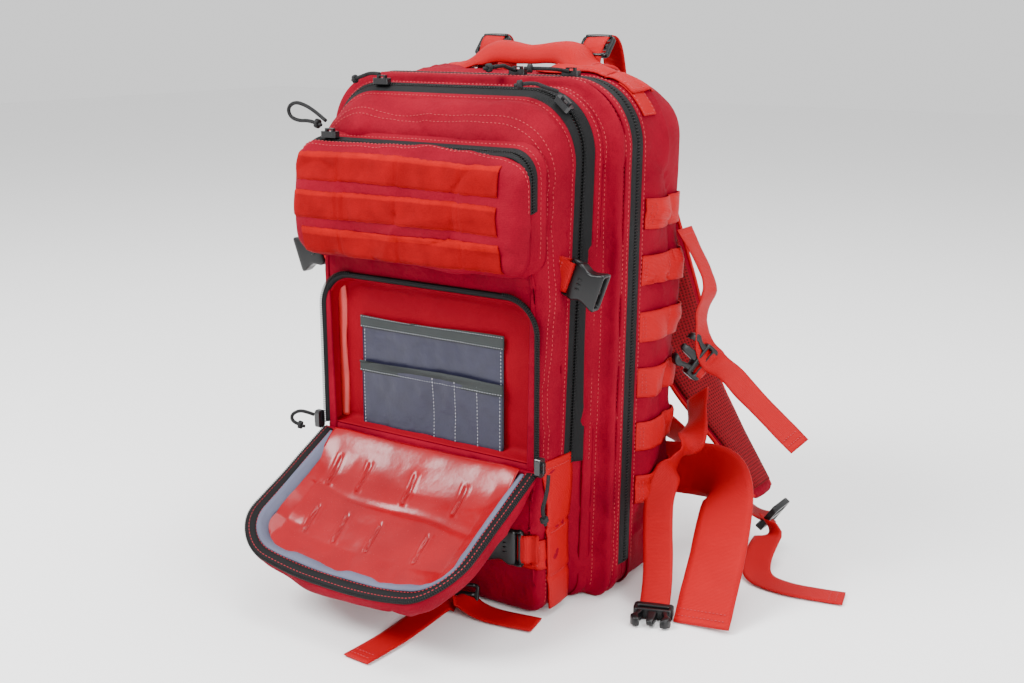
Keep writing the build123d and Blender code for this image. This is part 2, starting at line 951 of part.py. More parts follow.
save("upper_webs", upper_web_right, mirrored(upper_web_right))
save("upper_buckle_right", upper_buckle_right)
save("upper_buckle_left", mirrored(upper_buckle_right))
save("grab_handle", grab)
save("handle_anchors", *handle_anchors)
save("shoulder_pads", shoulder_right, mirrored(shoulder_right))
save("load_lifters", lifter_right, mirrored(lifter_right))
adjusters = [lifter_lock_right, ladder_right]
save("strap_adjusters", *adjusters, *[mirrored(piece) for piece in adjusters])
side_straps = [upper_strap_right, mirrored(upper_strap_right)]
save("side_straps", *side_straps, upper_tail_right, upper_tail_left)
save("male_buckles", male_right, mirrored(male_right), waist_male)
save("shoulder_webbing", shoulder_webbing_right, mirrored(shoulder_webbing_right))
save("shoulder_tail", shoulder_tail_right)
save("waist_belts", waist_belt_right, waist_belt_left)
save("waist_strap", waist_strap_right)
save("waist_female_buckle", waist_female)
save("bottom_straps", bottom_strap, bottom_tail, bottom_adjuster)
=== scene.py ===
"""Looks of the trauma backpack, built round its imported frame. Lengths are in millimetres until a mesh is made."""
import json
import math
import bpy
import numpy as np
from mathutils import Matrix, Vector
from mathutils.bvhtree import BVHTree

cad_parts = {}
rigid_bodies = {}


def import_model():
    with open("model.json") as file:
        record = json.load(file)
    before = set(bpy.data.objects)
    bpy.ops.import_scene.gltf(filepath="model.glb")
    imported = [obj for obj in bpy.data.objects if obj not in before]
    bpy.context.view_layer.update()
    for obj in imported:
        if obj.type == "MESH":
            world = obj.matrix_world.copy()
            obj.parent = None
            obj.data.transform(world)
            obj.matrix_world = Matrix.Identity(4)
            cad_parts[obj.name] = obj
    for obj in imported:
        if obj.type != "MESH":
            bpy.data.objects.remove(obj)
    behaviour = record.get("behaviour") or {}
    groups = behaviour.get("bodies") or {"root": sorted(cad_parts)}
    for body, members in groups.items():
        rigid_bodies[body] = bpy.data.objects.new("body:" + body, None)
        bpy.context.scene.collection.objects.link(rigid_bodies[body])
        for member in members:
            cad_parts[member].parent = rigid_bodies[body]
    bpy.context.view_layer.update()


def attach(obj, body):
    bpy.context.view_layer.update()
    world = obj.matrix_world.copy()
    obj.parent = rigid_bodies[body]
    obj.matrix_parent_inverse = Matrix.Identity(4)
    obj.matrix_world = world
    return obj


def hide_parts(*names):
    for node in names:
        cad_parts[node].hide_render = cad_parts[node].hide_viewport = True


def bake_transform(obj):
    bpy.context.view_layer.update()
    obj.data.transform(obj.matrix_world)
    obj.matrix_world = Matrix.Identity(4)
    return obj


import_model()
MM = 0.001
FABRIC = (0.165, 0.0001, 0.009)
WEBBING = (0.32, 0.0006, 0.004)
THREAD = (0.34, 0.010, 0.018)

# Sizes of the bag in millimetres, as its solids have them
BAG_HEIGHT, SECOND_HEIGHT, FRONT_DROP = 434, 426, 28
SECOND_ZIP_Y, FRONT_Y = -36, -77
TAPE, CLEARANCE, CORD_RISE = 1.2, 0.4, 8
LID_HALF, LID_BASE, LID_TOP, LID_RADIUS = 113.0, 127.5, 270, 32
HINGE_Z = 118
WEB_WIDTH, BELT_WIDTH = 25.4, 48.0
CORD_RADIUS = 1.6
BACK_Y = 98
# Least height of the cloth, so that none of it goes through the floor
FLOOR_GAP = 0.15
# Points inside the bag and its upper pocket, which cloth faces away from
BAG_MIDDLE = (0, 20, 210)
UPPER_MIDDLE = (0, -80, 335)


# Camera

def vec(*values):
    return np.array(values, float)


camera_data = bpy.data.cameras.new("view")
camera_data.sensor_width = 36
camera_data.lens = 45.7
camera = bpy.data.objects.new("view", camera_data)
bpy.context.collection.objects.link(camera)
camera.location = (0.6478, -0.9088, 0.4833)
aim = Vector((0.0348, 0, 0.209)) - camera.location
camera.rotation_mode = "QUATERNION"
camera.rotation_quaternion = aim.to_track_quat("-Z", "Y")
bpy.context.scene.camera = camera


# Materials

def new_material(name, color, roughness, **inputs):
    """A principled material and its node tree's parts."""
    material = bpy.data.materials.new(name)
    material.use_nodes = True
    tree = material.node_tree
    shader = tree.nodes["Principled BSDF"]
    shader.inputs["Base Color"].default_value = (*color, 1)
    shader.inputs["Roughness"].default_value = roughness
    for key, value in inputs.items():
        shader.inputs[key.replace("_", " ")].default_value = value
    return material, tree, shader


def node(tree, kind, **settings):
    made = tree.nodes.new(kind)
    for key, value in settings.items():
        if key in made.inputs:
            made.inputs[key].default_value = value
        else:
            setattr(made, key, value)
    return made


def band_wave(tree, coords, pitch, direction):
    """Regular ridges of that pitch in metres."""
    wave = node(tree, "ShaderNodeTexWave", wave_type="BANDS", bands_direction=direction)
    wave.inputs["Scale"].default_value = 2 * math.pi / (20 * pitch)
    wave.inputs["Distortion"].default_value = 0.0
    tree.links.new(coords, wave.inputs["Vector"])
    return wave.outputs["Fac"]


def math_node(tree, operation, first, second):
    made = node(tree, "ShaderNodeMath", operation=operation)
    for socket, value in zip(made.inputs, (first, second)):
        if isinstance(value, (int, float)):
            socket.default_value = value
        else:
            tree.links.new(value, socket)
    return made.outputs[0]


def noise_node(tree, coords, scale, detail=3.0):
    made = node(tree, "ShaderNodeTexNoise")
    made.inputs["Scale"].default_value = scale
    made.inputs["Detail"].default_value = detail
    tree.links.new(coords, made.inputs["Vector"])
    return made.outputs["Fac"]


def shade(tree, factor, low, high, colors):
    """Colour that runs between two as factor goes from low to high."""
    ramp = node(tree, "ShaderNodeValToRGB")
    ramp.color_ramp.elements[0].position = low
    ramp.color_ramp.elements[1].position = high
    ramp.color_ramp.elements[0].color = (*colors[0], 1)
    ramp.color_ramp.elements[1].color = (*colors[1], 1)
    tree.links.new(factor, ramp.inputs[0])
    return ramp.outputs[0]


def bump(tree, shader, height, strength, distance, under=None):
    made = node(tree, "ShaderNodeBump", Strength=strength, Distance=distance)
    tree.links.new(height, made.inputs["Height"])
    if under:
        tree.links.new(under, made.inputs["Normal"])
    tree.links.new(made.outputs[0], shader.inputs["Normal"])
    return made.outputs[0]


def scaled(color, factor):
    return tuple(min(channel * factor, 1.0) for channel in color)


def woven(name, color, pitch=0.0009, roughness=0.72, spread=0.22, strength=0.35, grain=0.0004,
          coords="UV", ribs=False, specular=0.06, rumple=0.0, **inputs):
    """Woven cloth: warp and weft ridges, thread to thread variation and broad fading."""
    material, tree, shader = new_material(name, color, roughness,
                                          Specular_IOR_Level=specular, **inputs)
    place = node(tree, "ShaderNodeTexCoord")
    across = band_wave(tree, place.outputs[coords], pitch, "X")
    along = band_wave(tree, place.outputs[coords], pitch * (0.8 if not ribs else 0.9), "Y")
    weave = along if ribs else math_node(tree, "MULTIPLY", across, along)
    fine = noise_node(tree, place.outputs["Object"], 1400.0, 2.0)
    broad = noise_node(tree, place.outputs["Object"], 16.0, 4.0)
    mix = math_node(tree, "MULTIPLY_ADD", fine, 0.45)
    tree.links.new(broad, mix.node.inputs[2])
    worn = math_node(tree, "MULTIPLY_ADD", weave, 0.18)
    tree.links.new(mix, worn.node.inputs[2])
    colors = (scaled(color, 1 - spread), scaled(color, 1 + spread))
    tree.links.new(shade(tree, worn, 0.50, 1.05, colors), shader.inputs["Base Color"])
    under = None
    if rumple:
        soft = noise_node(tree, place.outputs["Object"], 34.0, 3.0)
        under = bump(tree, shader, soft, rumple, 0.006)
    height = math_node(tree, "ADD", weave, fine)
    bump(tree, shader, height, strength, grain, under)
    return material


def pile(name, color):
    """Looped pile with a lighter, fuzzier selvedge at each edge of its UV strip."""
    material, tree, shader = new_material(name, color, 0.9, Specular_IOR_Level=0.08)
    place = node(tree, "ShaderNodeTexCoord")
    split = node(tree, "ShaderNodeSeparateXYZ")
    tree.links.new(place.outputs["UV"], split.inputs[0])
    wobble = noise_node(tree, place.outputs["Object"], 320.0, 3.0)
    edge = math_node(tree, "MULTIPLY_ADD", wobble, 0.0016)
    tree.links.new(split.outputs["Y"], edge.node.inputs[2])
    middle = math_node(tree, "SUBTRACT", edge, 0.0113)
    size = math_node(tree, "ABSOLUTE", middle, 0.0)
    reach = math_node(tree, "DIVIDE", size, 0.0105)
    ramp = shade(tree, reach, 0.84, 0.97, (color, (0.34, 0.0015, 0.003)))
    patch = noise_node(tree, place.outputs["Object"], 60.0, 5.0)
    dark = shade(tree, patch, 0.35, 0.75, (scaled((1, 1, 1), 0.74), (1, 1, 1)))
    blend = node(tree, "ShaderNodeMix", data_type="RGBA", blend_type="MULTIPLY")
    blend.inputs["Factor"].default_value = 1.0
    tree.links.new(ramp, blend.inputs["A"])
    tree.links.new(dark, blend.inputs["B"])
    tree.links.new(blend.outputs["Result"], shader.inputs["Base Color"])
    fuzz = noise_node(tree, place.outputs["Object"], 1100.0, 4.0)
    bump(tree, shader, fuzz, 0.7, 0.0008)
    return material


def smooth_skin(name, color, roughness, bump_scale=60.0, strength=0.12, distance=0.0015, **inputs):
    """Moulded or coated surface with faint unevenness and fine scuffs."""
    material, tree, shader = new_material(name, color, roughness, **inputs)
    place = node(tree, "ShaderNodeTexCoord")
    broad = noise_node(tree, place.outputs["Object"], bump_scale, 4.0)
    scuff = noise_node(tree, place.outputs["Object"], 700.0, 2.0)
    tree.links.new(shade(tree, broad, 0.3, 0.75, (scaled(color, 0.86), scaled(color, 1.14))),
                   shader.inputs["Base Color"])
    span = node(tree, "ShaderNodeMapRange")
    span.inputs["To Min"].default_value = roughness * 0.75
    span.inputs["To Max"].default_value = roughness * 1.3
    tree.links.new(scuff, span.inputs["Value"])
    tree.links.new(span.outputs[0], shader.inputs["Roughness"])
    bump(tree, shader, math_node(tree, "MULTIPLY_ADD", broad, 1.0), strength, distance)
    return material


def air_mesh(name, color):
    """Knitted spacer mesh with rows of small holes."""
    material, tree, shader = new_material(name, color, 0.85, Specular_IOR_Level=0.15)
    place = node(tree, "ShaderNodeTexCoord")
    cells = node(tree, "ShaderNodeTexVoronoi", Scale=330.0, Randomness=0.15)
    tree.links.new(place.outputs["UV"], cells.inputs["Vector"])
    colors = (scaled(color, 0.12), color)
    tree.links.new(shade(tree, cells.outputs["Distance"], 0.12, 0.42, colors),
                   shader.inputs["Base Color"])
    bump(tree, shader, cells.outputs["Distance"], 0.8, 0.0012)
    return material


fabric = woven("fabric_red_weave", FABRIC, rumple=0.95, spread=0.26)
inner_fabric = woven("fabric_red_inside", (0.19, 0.0001, 0.007), spread=0.12, rumple=0.35)
webbing = woven("webbing_red_rib", WEBBING, pitch=0.0013, roughness=0.5, spread=0.1, ribs=True,
                strength=0.5, grain=0.0005, specular=0.1)
tape_black = woven("zip_tape_weave", (0.006, 0.006, 0.0065), pitch=0.0012, roughness=0.62,
                   ribs=True, strength=0.5, specular=0.12)
coil_black = smooth_skin("zip_coil_nylon", (0.005, 0.005, 0.005), 0.4, Specular_IOR_Level=0.2)
cord_black = woven("cord_braid", (0.008, 0.008, 0.009), pitch=0.0016, strength=0.8, specular=0.3)
thread_red = smooth_skin("thread_red", THREAD, 0.6)
thread_dark = smooth_skin("thread_deep_red", (0.36, 0.002, 0.012), 0.6)
thread_pale = smooth_skin("thread_pale", (0.30, 0.31, 0.34), 0.5)
loop_pile = pile("loop_pile_red", (0.235, 0.0001, 0.0025))
vinyl = smooth_skin("vinyl_gloss_red", (0.235, 0.0002, 0.0045), 0.24, bump_scale=26.0, strength=0.3,
                    distance=0.004, Specular_IOR_Level=0.3)
facing_red = smooth_skin("facing_light_red", (0.48, 0.02, 0.02), 0.3)
binding = woven("binding_grey_rib", (0.095, 0.10, 0.145), pitch=0.0011, ribs=True, roughness=0.75)
organizer = smooth_skin("organizer_nylon", (0.015, 0.015, 0.033), 0.34, bump_scale=90.0,
                        strength=0.35, distance=0.002, Specular_IOR_Level=0.35)
band_grey = woven("organizer_band_weave", (0.034, 0.038, 0.038), pitch=0.001, ribs=True)
mesh_dark = air_mesh("mesh_dark_red", (0.15, 0.0005, 0.004))
plastic = smooth_skin("buckle_satin_black", (0.004, 0.004, 0.0045), 0.32, strength=0.06,
                      Specular_IOR_Level=0.3)
metal_black = smooth_skin("slider_black_lacquer", (0.008, 0.008, 0.009), 0.22, strength=0.05)
sheet_black = smooth_skin("frame_sheet_black", (0.02, 0.02, 0.02), 0.5)


# Meshes

def add_object(name, points, faces, material, body=None, flat=False):
    """A mesh from points in millimetres."""
    mesh = bpy.data.meshes.new(name)
    mesh.from_pydata([tuple(p) for p in np.asarray(points) * MM], [], faces)
    mesh.polygons.foreach_set("use_smooth", [not flat] * len(mesh.polygons))
    mesh.materials.append(material)
    made = bpy.data.objects.new(name, mesh)
    bpy.context.collection.objects.link(made)
    if body:
        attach(made, body)
    return made


def run_lengths(grid, axis):
    steps = np.linalg.norm(np.diff(grid, axis=axis), axis=2).mean(axis=1 - axis)
    return np.concatenate([[0], np.cumsum(steps)]) * MM


def sheet(name, grid, material, body=None, closed=False, thickness=1.2, inside=BAG_MIDDLE):
    """A cloth sheet through rows of points, with a UV map in metres and a real thickness."""
    rows, cols = grid.shape[:2]
    wrapped = np.concatenate([grid, grid[:, :1]], axis=1) if closed else grid
    across, along = run_lengths(wrapped, 1), run_lengths(grid, 0)
    last = cols if closed else cols - 1
    faces, uvs = [], []
    for i in range(rows - 1):
        for j in range(last):
            k = (j + 1) % cols
            faces.append((i * cols + j, i * cols + k, (i + 1) * cols + k, (i + 1) * cols + j))
            uvs += [(across[j], along[i]), (across[j + 1], along[i]),
                    (across[j + 1], along[i + 1]), (across[j], along[i + 1])]
    made = add_object(name, grid.reshape(-1, 3), faces, material)
    made.data.uv_layers.new(name="UVMap").data.foreach_set("uv", np.array(uvs).ravel())
    centre = Vector(inside) * MM
    facing = sum((p.normal.dot(p.center - centre) * p.area for p in made.data.polygons))
    if facing < 0:
        made.data.flip_normals()
    if thickness:
        solid = made.modifiers.new("thickness", "SOLIDIFY")
        solid.thickness = thickness * MM
        solid.offset = -1
        apply_modifiers(made)
    if body:
        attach(made, body)
    return made


def apply_modifiers(made):
    """Turns an object's modifiers into its mesh."""
    graph = bpy.context.evaluated_depsgraph_get()
    mesh = bpy.data.meshes.new_from_object(made.evaluated_get(graph))
    made.modifiers.clear()
    made.data = mesh
    mesh.polygons.foreach_set("use_smooth", [True] * len(mesh.polygons))


def normals(grid, inside=None, closed=False):
    """Unit normal at each point of a grid, away from the inside point."""
    if closed:
        wide = np.concatenate([grid[:, -1:], grid, grid[:, :1]], axis=1)
        across = np.gradient(wide, axis=1)[:, 1:-1]
    else:
        across = np.gradient(grid, axis=1)
    along = np.gradient(grid, axis=0)
    normal = np.cross(across, along)
    normal /= np.linalg.norm(normal, axis=2, keepdims=True) + 1e-9
    if inside is not None:
        away = grid - np.asarray(inside, float)
        if (normal * away).sum() < 0:
            normal = -normal
    return normal


def lattice(i, j, k, seed):
    value = (i * 73856093) ^ (j * 19349663) ^ (k * 83492791) ^ (seed * 2654435761)
    value = (value ^ (value >> 13)) * 1274126177
    value = (value ^ (value >> 16)) & 0xFFFF
    return value / 32767.5 - 1


def noise(points, size, seed=0):
    """Smooth noise from -1 to 1 whose bumps are about size apart, per axis if size is a triple."""
    place = np.asarray(points, float) / np.asarray(size, float) + 100.5
    cell = np.floor(place).astype(np.int64)
    share = place - cell
    share = share * share * (3 - 2 * share)
    total = 0
    for a in (0, 1):
        for b in (0, 1):
            for c in (0, 1):
                weight = 1
                for axis, bit in enumerate((a, b, c)):
                    part = share[..., axis]
                    weight = weight * (part if bit else 1 - part)
                corner = lattice(cell[..., 0] + a, cell[..., 1] + b, cell[..., 2] + c, seed)
                total = total + weight * corner
    return total


def ease(value, low, high):
    share = np.clip((value - low) / (high - low), 0, 1)
    return share * share * (3 - 2 * share)


def resample(points, step):
    """Points the same distance apart along a line, and how far along each is."""
    points = np.asarray(points, float)
    runs = np.concatenate([[0], np.cumsum(np.linalg.norm(np.diff(points, axis=0), axis=1))])
    count = max(int(round(runs[-1] / step)), 2)
    where = np.linspace(0, runs[-1], count + 1)
    return np.stack([np.interp(where, runs, points[:, k]) for k in range(3)], axis=1), where


def unit(v):
    v = np.asarray(v, float)
    return v / (np.linalg.norm(v, axis=-1, keepdims=True) + 1e-12)


def stitches(name, lines, material, body=None, pitch=3.8, length=2.7, width=0.8, height=0.5):
    """Rows of thread stitches. Each line is its points and the surface normals there."""
    points, faces = [], []
    for line, normal in lines:
        line, normal = np.asarray(line, float), np.asarray(normal, float)
        normal = np.broadcast_to(normal, line.shape)
        runs = np.concatenate([[0], np.cumsum(np.linalg.norm(np.diff(line, axis=0), axis=1))])
        if runs[-1] < pitch:
            continue
        for where in np.arange(pitch / 2, runs[-1] - length / 2, pitch):
            at = lambda s, source: vec(*[np.interp(s, runs, source[:, k]) for k in range(3)])
            start, end = at(where - length / 2, line), at(where + length / 2, line)
            up = unit(at(where, normal))
            along = unit(end - start)
            side = np.cross(along, up) * width / 2
            base = len(points)
            points += [start - up * 0.2, end - up * 0.2]
            for share in (0.22, 0.78):
                middle = start + (end - start) * share
                points += [middle - side, middle + up * height, middle + side, middle - up * 0.3]
            for k in range(4):
                n = (k + 1) % 4
                faces += [(base, base + 2 + n, base + 2 + k), (base + 1, base + 6 + k, base + 6 + n),
                          (base + 2 + k, base + 2 + n, base + 6 + n, base + 6 + k)]
    made = add_object(name, points, faces, material)
    if body:
        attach(made, body)
    return made


def tube(name, points, radius, material, body=None, sides=10, squash=1.0, closed=False):
    """Round bar along points, which can be flattened, with closed ends."""
    points = np.asarray(points, float)
    count = len(points)
    ahead = np.roll(points, -1, 0) - np.roll(points, 1, 0)
    if not closed:
        ahead[0], ahead[-1] = points[1] - points[0], points[-1] - points[-2]
    ahead = unit(ahead)
    side = unit(np.cross(ahead[0], (0.31, 0.17, 0.93)))
    rings = []
    radii = np.broadcast_to(np.asarray(radius, float), (count,))
    for k in range(count):
        side = unit(side - ahead[k] * side.dot(ahead[k]))
        up = np.cross(ahead[k], side)
        angles = np.linspace(0, 2 * math.pi, sides, endpoint=False)
        ring = [points[k] + radii[k] * (side * math.cos(a) + up * math.sin(a) * squash)
                for a in angles]
        rings.append(ring)
    return loft(name, rings, material, body, closed)


def loft(name, rings, material, body=None, closed=False, caps=True):
    """Closed skin through rings of points."""
    rings = np.asarray(rings, float)
    count, sides = rings.shape[:2]
    faces = []
    for i in range(count if closed else count - 1):
        n = (i + 1) % count
        for j in range(sides):
            k = (j + 1) % sides
            faces.append((i * sides + j, i * sides + k, n * sides + k, n * sides + j))
    if caps and not closed:
        faces += [tuple(range(sides))[::-1], tuple((count - 1) * sides + j for j in range(sides))]
    return add_object(name, rings.reshape(-1, 3), faces, material, body)


def rounded(width, depth, radius, sides=5):
    """Rounded rectangle about the origin, as X and Y."""
    points = []
    for cx, cy, start in ((1, 1, 0), (-1, 1, 90), (-1, -1, 180), (1, -1, 270)):
        for k in range(sides):
            angle = math.radians(start + 90 * k / (sides - 1))
            points.append((cx * (width / 2 - radius) + radius * math.cos(angle),
                           cy * (depth / 2 - radius) + radius * math.sin(angle)))
    return np.array(points)


def joined(name, parts, body=None):
    """Several objects as one."""
    points, faces = [], []
    for part in parts:
        base = len(points)
        points += [v.co / MM for v in part.data.vertices]
        faces += [tuple(base + v for v in p.vertices) for p in part.data.polygons]
    made = add_object(name, [tuple(p) for p in points], faces, parts[0].data.materials[0], body)
    for part in parts:
        bpy.data.objects.remove(part)
    return made


def moved(made, matrix):
    """Applies a placement in millimetres to an object's mesh."""
    matrix = Matrix(matrix)
    matrix.translation = matrix.translation * MM
    made.data.transform(matrix)
    return made


# Cord pulls, which are NURBS lines through the same points as their solids

def route_curve(name, points, order=3):
    curve = bpy.data.curves.new(name, "CURVE")
    curve.dimensions = "3D"
    spline = curve.splines.new("NURBS")
    spline.points.add(len(points) - 1)
    for target, point in zip(spline.points, points):
        target.co = (*(c * MM for c in point), 1)
    spline.order_u = order
    spline.use_endpoint_u = True
    spline.resolution_u = 12
    made = bpy.data.objects.new(name, curve)
    bpy.context.collection.objects.link(made)
    return made


def route_points(points):
    """Points read along the NURBS line through control points."""
    made = route_curve("route", points)
    graph = bpy.context.evaluated_depsgraph_get()
    mesh = bpy.data.meshes.new_from_object(made.evaluated_get(graph))
    line = np.array([v.co for v in mesh.vertices]) / MM
    bpy.data.objects.remove(made)
    bpy.data.meshes.remove(mesh)
    return line


def knot(name, centre, along, size, body):
    """Overhand knot: two crossed turns of cord and a short end."""
    along = unit(along)
    side = unit(np.cross(along, (0.2, 0.1, 0.97)))
    up = np.cross(along, side)
    parts = []
    for tilt in (-0.5, 0.55):
        angles = np.linspace(0, 2 * math.pi, 18, endpoint=False)
        ring = [np.asarray(centre) + size * (side * math.cos(a) + up * math.sin(a))
                + along * size * tilt * math.sin(a + tilt) for a in angles]
        parts.append(tube(name + str(tilt), ring, 1.5, cord_black, closed=True, sides=8))
    end = [np.asarray(centre) + along * s + side * (0.12 * s) for s in np.linspace(-2, size * 2.2, 6)]
    parts.append(tube(name + "_end", end, 1.5, cord_black, sides=8))
    return joined(name, parts, body)


def pull(name, points, body, knot_size=2.2):
    """A cord pull of 3.2 mm cord that ends in a knot."""
    line = route_points(points)
    made = route_curve(name, points)
    made.data.bevel_depth = CORD_RADIUS * MM
    made.data.bevel_resolution = 3
    made.data.use_fill_caps = True
    made.data.materials.append(cord_black)
    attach(made, body)
    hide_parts(name)
    end = knot(name + "_knot", line[-1], line[-1] - line[-3], knot_size, body)


MAIN_CORD_Z = BAG_HEIGHT + TAPE + CLEARANCE + CORD_RISE
SECOND_CORD_Z = SECOND_HEIGHT + TAPE + CLEARANCE
pull("main_left_cord", [(34, 5, MAIN_CORD_Z - 3.6), (31, -3, MAIN_CORD_Z - 1),
                        (35, -13, MAIN_CORD_Z + 1), (29, -25, MAIN_CORD_Z - 1)], "main_slider_left")
pull("main_right_cord", [(86, 5, MAIN_CORD_Z - 3.6), (84, -3, MAIN_CORD_Z - 2),
                         (76, -11, MAIN_CORD_Z - 1), (62, -14.5, MAIN_CORD_Z - 1)],
     "main_slider_right")
pull("second_left_cord", [(-77, -36, SECOND_CORD_Z + 8), (-87, -34, SECOND_CORD_Z + 9),
                          (-96, -36, SECOND_CORD_Z + 6), (-107, -33, SECOND_CORD_Z + 3)],
     "second_slider_left")
pull("second_right_cord", [(106, -42, 427), (100, -50, 430), (91, -54, 434), (80, -56, 432)],
     "second_slider_right")
pull("upper_cord", [(-93, -88, 399), (-103, -86, 404), (-117, -84, 410), (-131, -83, 413),
                    (-141, -82, 408), (-139, -82, 400), (-128, -83, 397), (-115, -84, 398),
                    (-104, -86, 396)], "upper_slider", 2.6)
pull("lower_right_cord", [(124, -80, 128), (126, -84, 120), (125, -86, 110), (122, -87, 100),
                          (124, -86, 92)], "lower_slider_right")
pull("lower_left_cord", [(-124, -82, 136), (-130, -86, 139), (-138, -88, 139), (-145, -90, 134),
                         (-142, -91, 128), (-134, -90, 127)], "lower_slider_left")


# Webbing

def ribbon(name, stations, width, material, body=None, thickness=1.6, ripple=0.0, crown=0.0,
           round_edge=0.5, step=3.0, seed=1, through=None):
    """Flat webbing along the NURBS line through stations of point and direction of its width."""
    controls = [vec(*point) for point, across in stations]
    line, runs = resample(through if through is not None else route_points(controls), step)
    legs = np.concatenate([[0], np.cumsum(np.linalg.norm(np.diff(controls, axis=0), axis=1))])
    share = runs / runs[-1] * legs[-1]
    across = np.array([unit(a) for p, a in stations])
    across = np.stack([np.interp(share, legs, across[:, k]) for k in range(3)], axis=1)
    ahead = unit(np.gradient(line, axis=0))
    across = unit(across - ahead * (across * ahead).sum(1, keepdims=True))
    up = np.cross(ahead, across)
    widths = np.interp(share, legs, width) if isinstance(width, list) else np.full(len(line), width)
    half = thickness / 2
    flat = np.linspace(-1, 1, 9)
    profile = [(s, half) for s in flat] + [(s, -half) for s in flat[::-1]]
    rings = []
    for k in range(len(line)):
        ring = []
        for s, h in profile:
            edge = 1 - round_edge * (abs(s) > 0.99)
            lift = crown * (1 - s * s)
            lift += ripple * float(noise(vec(runs[k], s * 12, 0), 17.0, seed))
            ring.append(line[k] + across[k] * s * widths[k] / 2 + up[k] * (h * edge + lift))
        rings.append(ring)
    made = loft(name, rings, material)
    uv = made.data.uv_layers.new(name="UVMap")
    sides = len(profile)
    offsets = np.array([p[0] for p in profile])
    for poly in made.data.polygons:
        for loop in poly.loop_indices:
            v = made.data.loops[loop].vertex_index
            uv.data[loop].uv = ((offsets[v % sides] + 1) * widths[0] / 2 * MM, runs[v // sides] * MM)
    if body:
        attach(made, body)
    return made, line, across, up


def cord_strap(name, stations, width, body, nodes, far_end, **settings):
    """Free webbing, made as a flat ribbon in place of its solids."""
    made, line, across, up = ribbon(name, stations, width, webbing, body, **settings)
    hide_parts(*nodes)
    return made, line, across, up


def hem(name, line, across, up, width, body, at):
    """Stitch rows across the end of a strap, on both its faces."""
    rows = []
    for k in at:
        for side in (1.0, -1.0):
            ends = [line[k] + across[k] * s * (width / 2 - 2) + up[k] * 0.9 * side
                    for s in np.linspace(-1, 1, 8)]
            rows.append((ends, up[k] * side))
    made = stitches(name, rows, thread_red, body, pitch=3.2, length=2.3, width=0.8)


# Outlines of the bag

def half_outline(half, base, top, base_round, top_round, inset=0.0, counts=(14, 8, 84, 22, 34)):
    """Right half of an upright rounded outline, from its base's middle to its top's middle."""
    low, high = base + inset, top - inset
    rb, rt = max(base_round - inset, 1.0), max(top_round - inset, 1.0)
    side = lambda z: half(z) - inset
    xb, xt = side(low + rb), side(high - rt)
    points = [((xb - rb) * t, low) for t in np.linspace(0, 1, counts[0], endpoint=False)]
    for t in np.linspace(0, math.pi / 2, counts[1], endpoint=False):
        points.append((xb - rb + rb * math.sin(t), low + rb - rb * math.cos(t)))
    for z in np.linspace(low + rb, high - rt, counts[2], endpoint=False):
        points.append((side(z), z))
    for t in np.linspace(0, math.pi / 2, counts[3], endpoint=False):
        points.append((xt - rt + rt * math.cos(t), high - rt + rt * math.sin(t)))
    points += [((xt - rt) * (1 - t), high) for t in np.linspace(0, 1, counts[4])]
    return np.array(points)


def full_ring(half, y):
    """Both halves of an outline at depth y."""
    left = half[-2:0:-1] * (-1, 1)
    both = np.concatenate([half, left])
    return np.stack([both[:, 0], np.full(len(both), y), both[:, 1]], axis=1)


def slope(low, high, base, top):
    return lambda z: low + (high - low) * (z - base) / (top - base)


def main_ring(y, inset=0.0):
    return full_ring(half_outline(slope(142, 148, 0, BAG_HEIGHT), 0, BAG_HEIGHT, 18, 52, inset), y)


def second_ring(y, inset=0.0):
    """Between the ridge at y -12 and the second zip at y -36."""
    share = (y - SECOND_ZIP_Y) / 24
    top = SECOND_HEIGHT + 2.5 * share
    half = slope(110 + 26.5 * share, 126 + 16.5 * share, 0, top)
    rounding = 48 - 1.5 * share
    return full_ring(half_outline(half, 0, top, 18, rounding, inset), y)


def front_half(share):
    """Half width of the front by height; share runs from 0 at the second zip to 1 at the front."""
    upper = slope(114.4 - 3.4 * share, 126 - 9 * share, HINGE_Z, SECOND_HEIGHT - FRONT_DROP * share)
    lower = 114.0 + 3.0 * share
    return lambda z: lower + (upper(max(z, HINGE_Z)) - lower) * float(ease(z, 96, 132))


def front_ring(y, inset=0.0):
    share = min(max((SECOND_ZIP_Y - y) / 41, 0), 1)
    top = SECOND_HEIGHT - FRONT_DROP * share
    return full_ring(half_outline(front_half(share), 0, top, 18, 48, inset), y)


def wrinkle(grid, normal, amount, seed, fade):
    """Soft folds, broad and fine, kept off the floor."""
    folds = noise(grid, (46, 60, 74), seed) * 1.0 + noise(grid, (19, 30, 34), seed + 7) * 0.42
    folds += np.abs(noise(grid, (26, 40, 60), seed + 13)) * 0.5 - 0.15
    bent = grid + 16 * noise(grid, 55, seed + 17)[..., None] * vec(0.4, 0.7, 1)
    folds += 0.75 * (1 - np.abs(noise(bent, (80, 55, 40), seed + 31))) ** 6
    folds -= 0.85 * (1 - np.abs(noise(bent, (55, 70, 52), seed + 37))) ** 7
    out = grid + normal * (amount * folds * fade)[..., None]
    out[..., 2] = np.maximum(out[..., 2], FLOOR_GAP)
    return out


def swell(grid, normal, amount):
    return grid + normal * np.asarray(amount)[..., None]


def surface(rings, closed=True, inside=BAG_MIDDLE):
    grid = np.array(rings)
    return grid, normals(grid, inside, closed)


def above(line, z):
    """The stretch of a ring whose points are higher than z, in order."""
    high = np.flatnonzero(line[:, 2] > z)
    return slice(high[0], high[-1] + 1)


# Rear half

